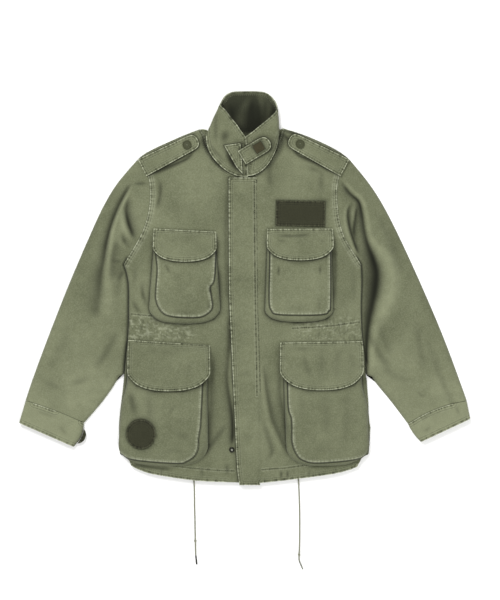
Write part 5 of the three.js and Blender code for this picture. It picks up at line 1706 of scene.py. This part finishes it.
class JACKET_OT_fastenings(bpy.types.Operator):
    """Makes the epaulette buttons and the snap stud."""

    bl_idname = "jacket.fastenings"
    bl_label = "Buttons and snap"

    def execute(self, context):
        for side in ("right", "left"):
            self.button(side)
        self.snap()
        return {"FINISHED"}

    def button(self, side):
        """A dished button with a raised rim and four holes."""
        low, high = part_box(f"button_{side}")
        centre = (low + high) / 2
        bpy.ops.object.select_all(action="DESELECT")
        bpy.ops.mesh.primitive_circle_add(
            vertices=48, radius=9.2 * MM, fill_type="NGON", location=(centre.x, centre.y, low.z)
        )
        button = bpy.context.object
        button.name = f"button_{side}_resin"
        bpy.ops.object.mode_set(mode="EDIT")
        for rise, width in BUTTON_STEPS:
            bpy.ops.mesh.extrude_region_move(TRANSFORM_OT_translate={"value": (0, 0, rise * MM)})
            bpy.ops.transform.resize(value=(width, width, 1.0))
        bpy.ops.object.mode_set(mode="OBJECT")
        for turn in range(4):
            angle = math.radians(45 + 90 * turn)
            bpy.ops.mesh.primitive_cylinder_add(
                vertices=20,
                radius=0.95 * MM,
                depth=8 * MM,
                location=(
                    centre.x + 2.1 * MM * math.cos(angle),
                    centre.y + 2.1 * MM * math.sin(angle),
                    low.z + 3 * MM,
                ),
            )
            hole = bpy.context.object
            apply_modifier(button, "BOOLEAN", operation="DIFFERENCE", object=hole, solver="EXACT")
            bpy.data.objects.remove(hole)
        activate(button)
        bpy.ops.object.transform_apply(location=True, rotation=True, scale=True)
        bpy.ops.object.mode_set(mode="EDIT")
        bpy.ops.mesh.select_all(action="SELECT")
        bpy.ops.mesh.normals_make_consistent(inside=False)
        bpy.ops.object.mode_set(mode="OBJECT")
        bpy.ops.object.shade_smooth_by_angle(angle=math.radians(40))
        button.data.materials.append(finishes["button"])
        finish_piece(button, "button", f"button_{side}")
        self.button_thread(side, centre, low.z + 3.1 * MM)

    def button_thread(self, side, centre, z):
        """Two bars of thread through the four holes."""
        bars = []
        for turn in (45, -45):
            bpy.ops.mesh.primitive_cylinder_add(
                vertices=12,
                radius=0.55 * MM,
                depth=5.2 * MM,
                location=(centre.x, centre.y, z),
                rotation=(math.radians(90), 0, math.radians(turn)),
            )
            bars.append(bpy.context.object)
        activate(*bars)
        bpy.ops.object.join()
        thread = bpy.context.object
        thread.name = f"button_{side}_thread"
        bpy.ops.object.transform_apply(location=True, rotation=True, scale=True)
        bpy.ops.object.shade_smooth_by_angle(angle=math.radians(40))
        thread.data.materials.append(finishes["thread"])
        finish_piece(thread, "cotton")

    def snap(self):
        """A dark ring with a bare post in its middle."""
        low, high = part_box("snap_stud")
        centre = (low + high) / 2
        bpy.ops.object.select_all(action="DESELECT")
        bpy.ops.mesh.primitive_torus_add(
            location=(centre.x, centre.y, low.z + 1.0 * MM),
            major_radius=4.7 * MM,
            minor_radius=1.45 * MM,
            major_segments=48,
            minor_segments=14,
        )
        ring = bpy.context.object
        ring.name = "snap_stud_ring"
        bpy.ops.object.transform_apply(location=True, rotation=True, scale=True)
        bpy.ops.object.shade_smooth()
        ring.data.materials.append(finishes["dark_metal"])
        finish_piece(ring, "dark_metal", "snap_stud")
        bpy.ops.object.select_all(action="DESELECT")
        bpy.ops.mesh.primitive_cylinder_add(
            vertices=32, radius=2.5 * MM, depth=3.0 * MM, location=(centre.x, centre.y, low.z + 1.6 * MM)
        )
        post = bpy.context.object
        post.name = "snap_stud_post"
        bpy.ops.object.transform_apply(location=True, rotation=True, scale=True)
        bpy.ops.object.mode_set(mode="EDIT")
        bpy.ops.mesh.select_all(action="SELECT")
        bpy.ops.mesh.bevel(offset=0.7 * MM, segments=4, affect="EDGES")
        bpy.ops.object.mode_set(mode="OBJECT")
        bpy.ops.object.shade_smooth_by_angle(angle=math.radians(40))
        post.data.materials.append(finishes["grey_metal"])
        finish_piece(post, "dark_metal")


class JACKET_OT_stitching(bpy.types.Operator):
    """Sews the visible rows of stitches."""

    bl_idname = "jacket.stitching"
    bl_label = "Stitching"

    def execute(self, context):
        for name, nodes in STITCHED.items():
            lines = []
            for node in nodes:
                for offset in STITCH_ROWS:
                    lines += contour(made[f"{node}_cloth"], offset * MM, 1)
            sew(name, lines)
        back = made["back_cloth"]
        sew("stitches_under", contour(back, 2.6 * MM, -1) + contour(back, 9 * MM, -1))
        fronts = [made["front_right_cloth"], made["front_left_cloth"]]
        lines = []
        for name, line in SEAM_LINES.items():
            pieces = [made["placket_cloth"]] if name.startswith("placket") else fronts
            lines.append(draped_line(line, pieces))
        for node, line in GUSSETS.items():
            lines.append(draped_line(inset_line(line, GUSSET_ROW), [made[f"{node}_cloth"]]))
        sew("stitches_lines", lines)
        return {"FINISHED"}


class JACKET_OT_stage(bpy.types.Operator):
    """Lays the pale floor and sets the soft studio light."""

    bl_idname = "jacket.stage"
    bl_label = "Stage"

    def execute(self, context):
        stage = context.scene.jacket_stage
        bpy.ops.object.select_all(action="DESELECT")
        bpy.ops.mesh.primitive_plane_add(size=14.0, location=(0, 0, -0.3 * MM))
        floor = bpy.context.object
        floor.name = "floor"
        material, _, shader = new_material("pale_floor", Roughness=0.8, Specular_IOR_Level=0.2)
        shader.inputs["Base Color"].default_value = stage.floor
        floor.data.materials.append(material)
        world = bpy.data.worlds.new("studio")
        context.scene.world = world
        world.use_nodes = True
        world.node_tree.nodes["Background"].inputs["Color"].default_value = (1, 1, 1, 1)
        world.node_tree.nodes["Background"].inputs["Strength"].default_value = 0.6
        for light in LIGHTS:
            self.softbox(*light)
        context.scene.view_settings.view_transform = "Standard"
        context.scene.view_settings.look = "None"
        return {"FINISHED"}

    def softbox(self, name, place, size, power):
        """A round area light that faces the jacket."""
        data = bpy.data.lights.new(name, "AREA")
        data.shape = "DISK"
        data.size = size
        data.energy = power
        light = bpy.data.objects.new(name, data)
        bpy.context.collection.objects.link(light)
        light.location = place
        light.rotation_euler = (-Vector(place)).to_track_quat("-Z", "Y").to_euler()


class JACKET_PT_panel(bpy.types.Panel):
    """Lists the steps that make the jacket."""

    bl_label = "Field Jacket"
    bl_idname = "JACKET_PT_panel"
    bl_space_type = "VIEW_3D"
    bl_region_type = "UI"
    bl_category = "Jacket"

    def draw(self, context):
        for group in (context.scene.jacket_cloth, context.scene.jacket_trim, context.scene.jacket_stage):
            for name in group.__annotations__:
                self.layout.prop(group, name)
        for operator in OPERATORS:
            self.layout.operator(operator.bl_idname)


GROUPS = {"jacket_cloth": JacketCloth, "jacket_trim": JacketTrim, "jacket_stage": JacketStage}
OPERATORS = (
    JACKET_OT_camera,
    JACKET_OT_cords,
    JACKET_OT_body,
    JACKET_OT_sleeves,
    JACKET_OT_pockets,
    JACKET_OT_collar,
    JACKET_OT_straps,
    JACKET_OT_fastenings,
    JACKET_OT_stitching,
    JACKET_OT_stage,
)


def register():
    """Registers the property groups, the operators and the panel."""
    for name, group in GROUPS.items():
        bpy.utils.register_class(group)
        setattr(bpy.types.Scene, name, bpy.props.PointerProperty(type=group))
    for item in (*OPERATORS, JACKET_PT_panel):
        bpy.utils.register_class(item)


def unregister():
    """Takes back what register did."""
    for item in reversed((*OPERATORS, JACKET_PT_panel)):
        bpy.utils.unregister_class(item)
    for name, group in GROUPS.items():
        delattr(bpy.types.Scene, name)
        bpy.utils.unregister_class(group)


def main():
    register()
    bpy.ops.object.select_all(action="DESELECT")
    make_finishes()
    for operator in OPERATORS:
        family, name = operator.bl_idname.split(".")
        getattr(getattr(bpy.ops, family), name)()


if __name__ == "__main__":
    main()
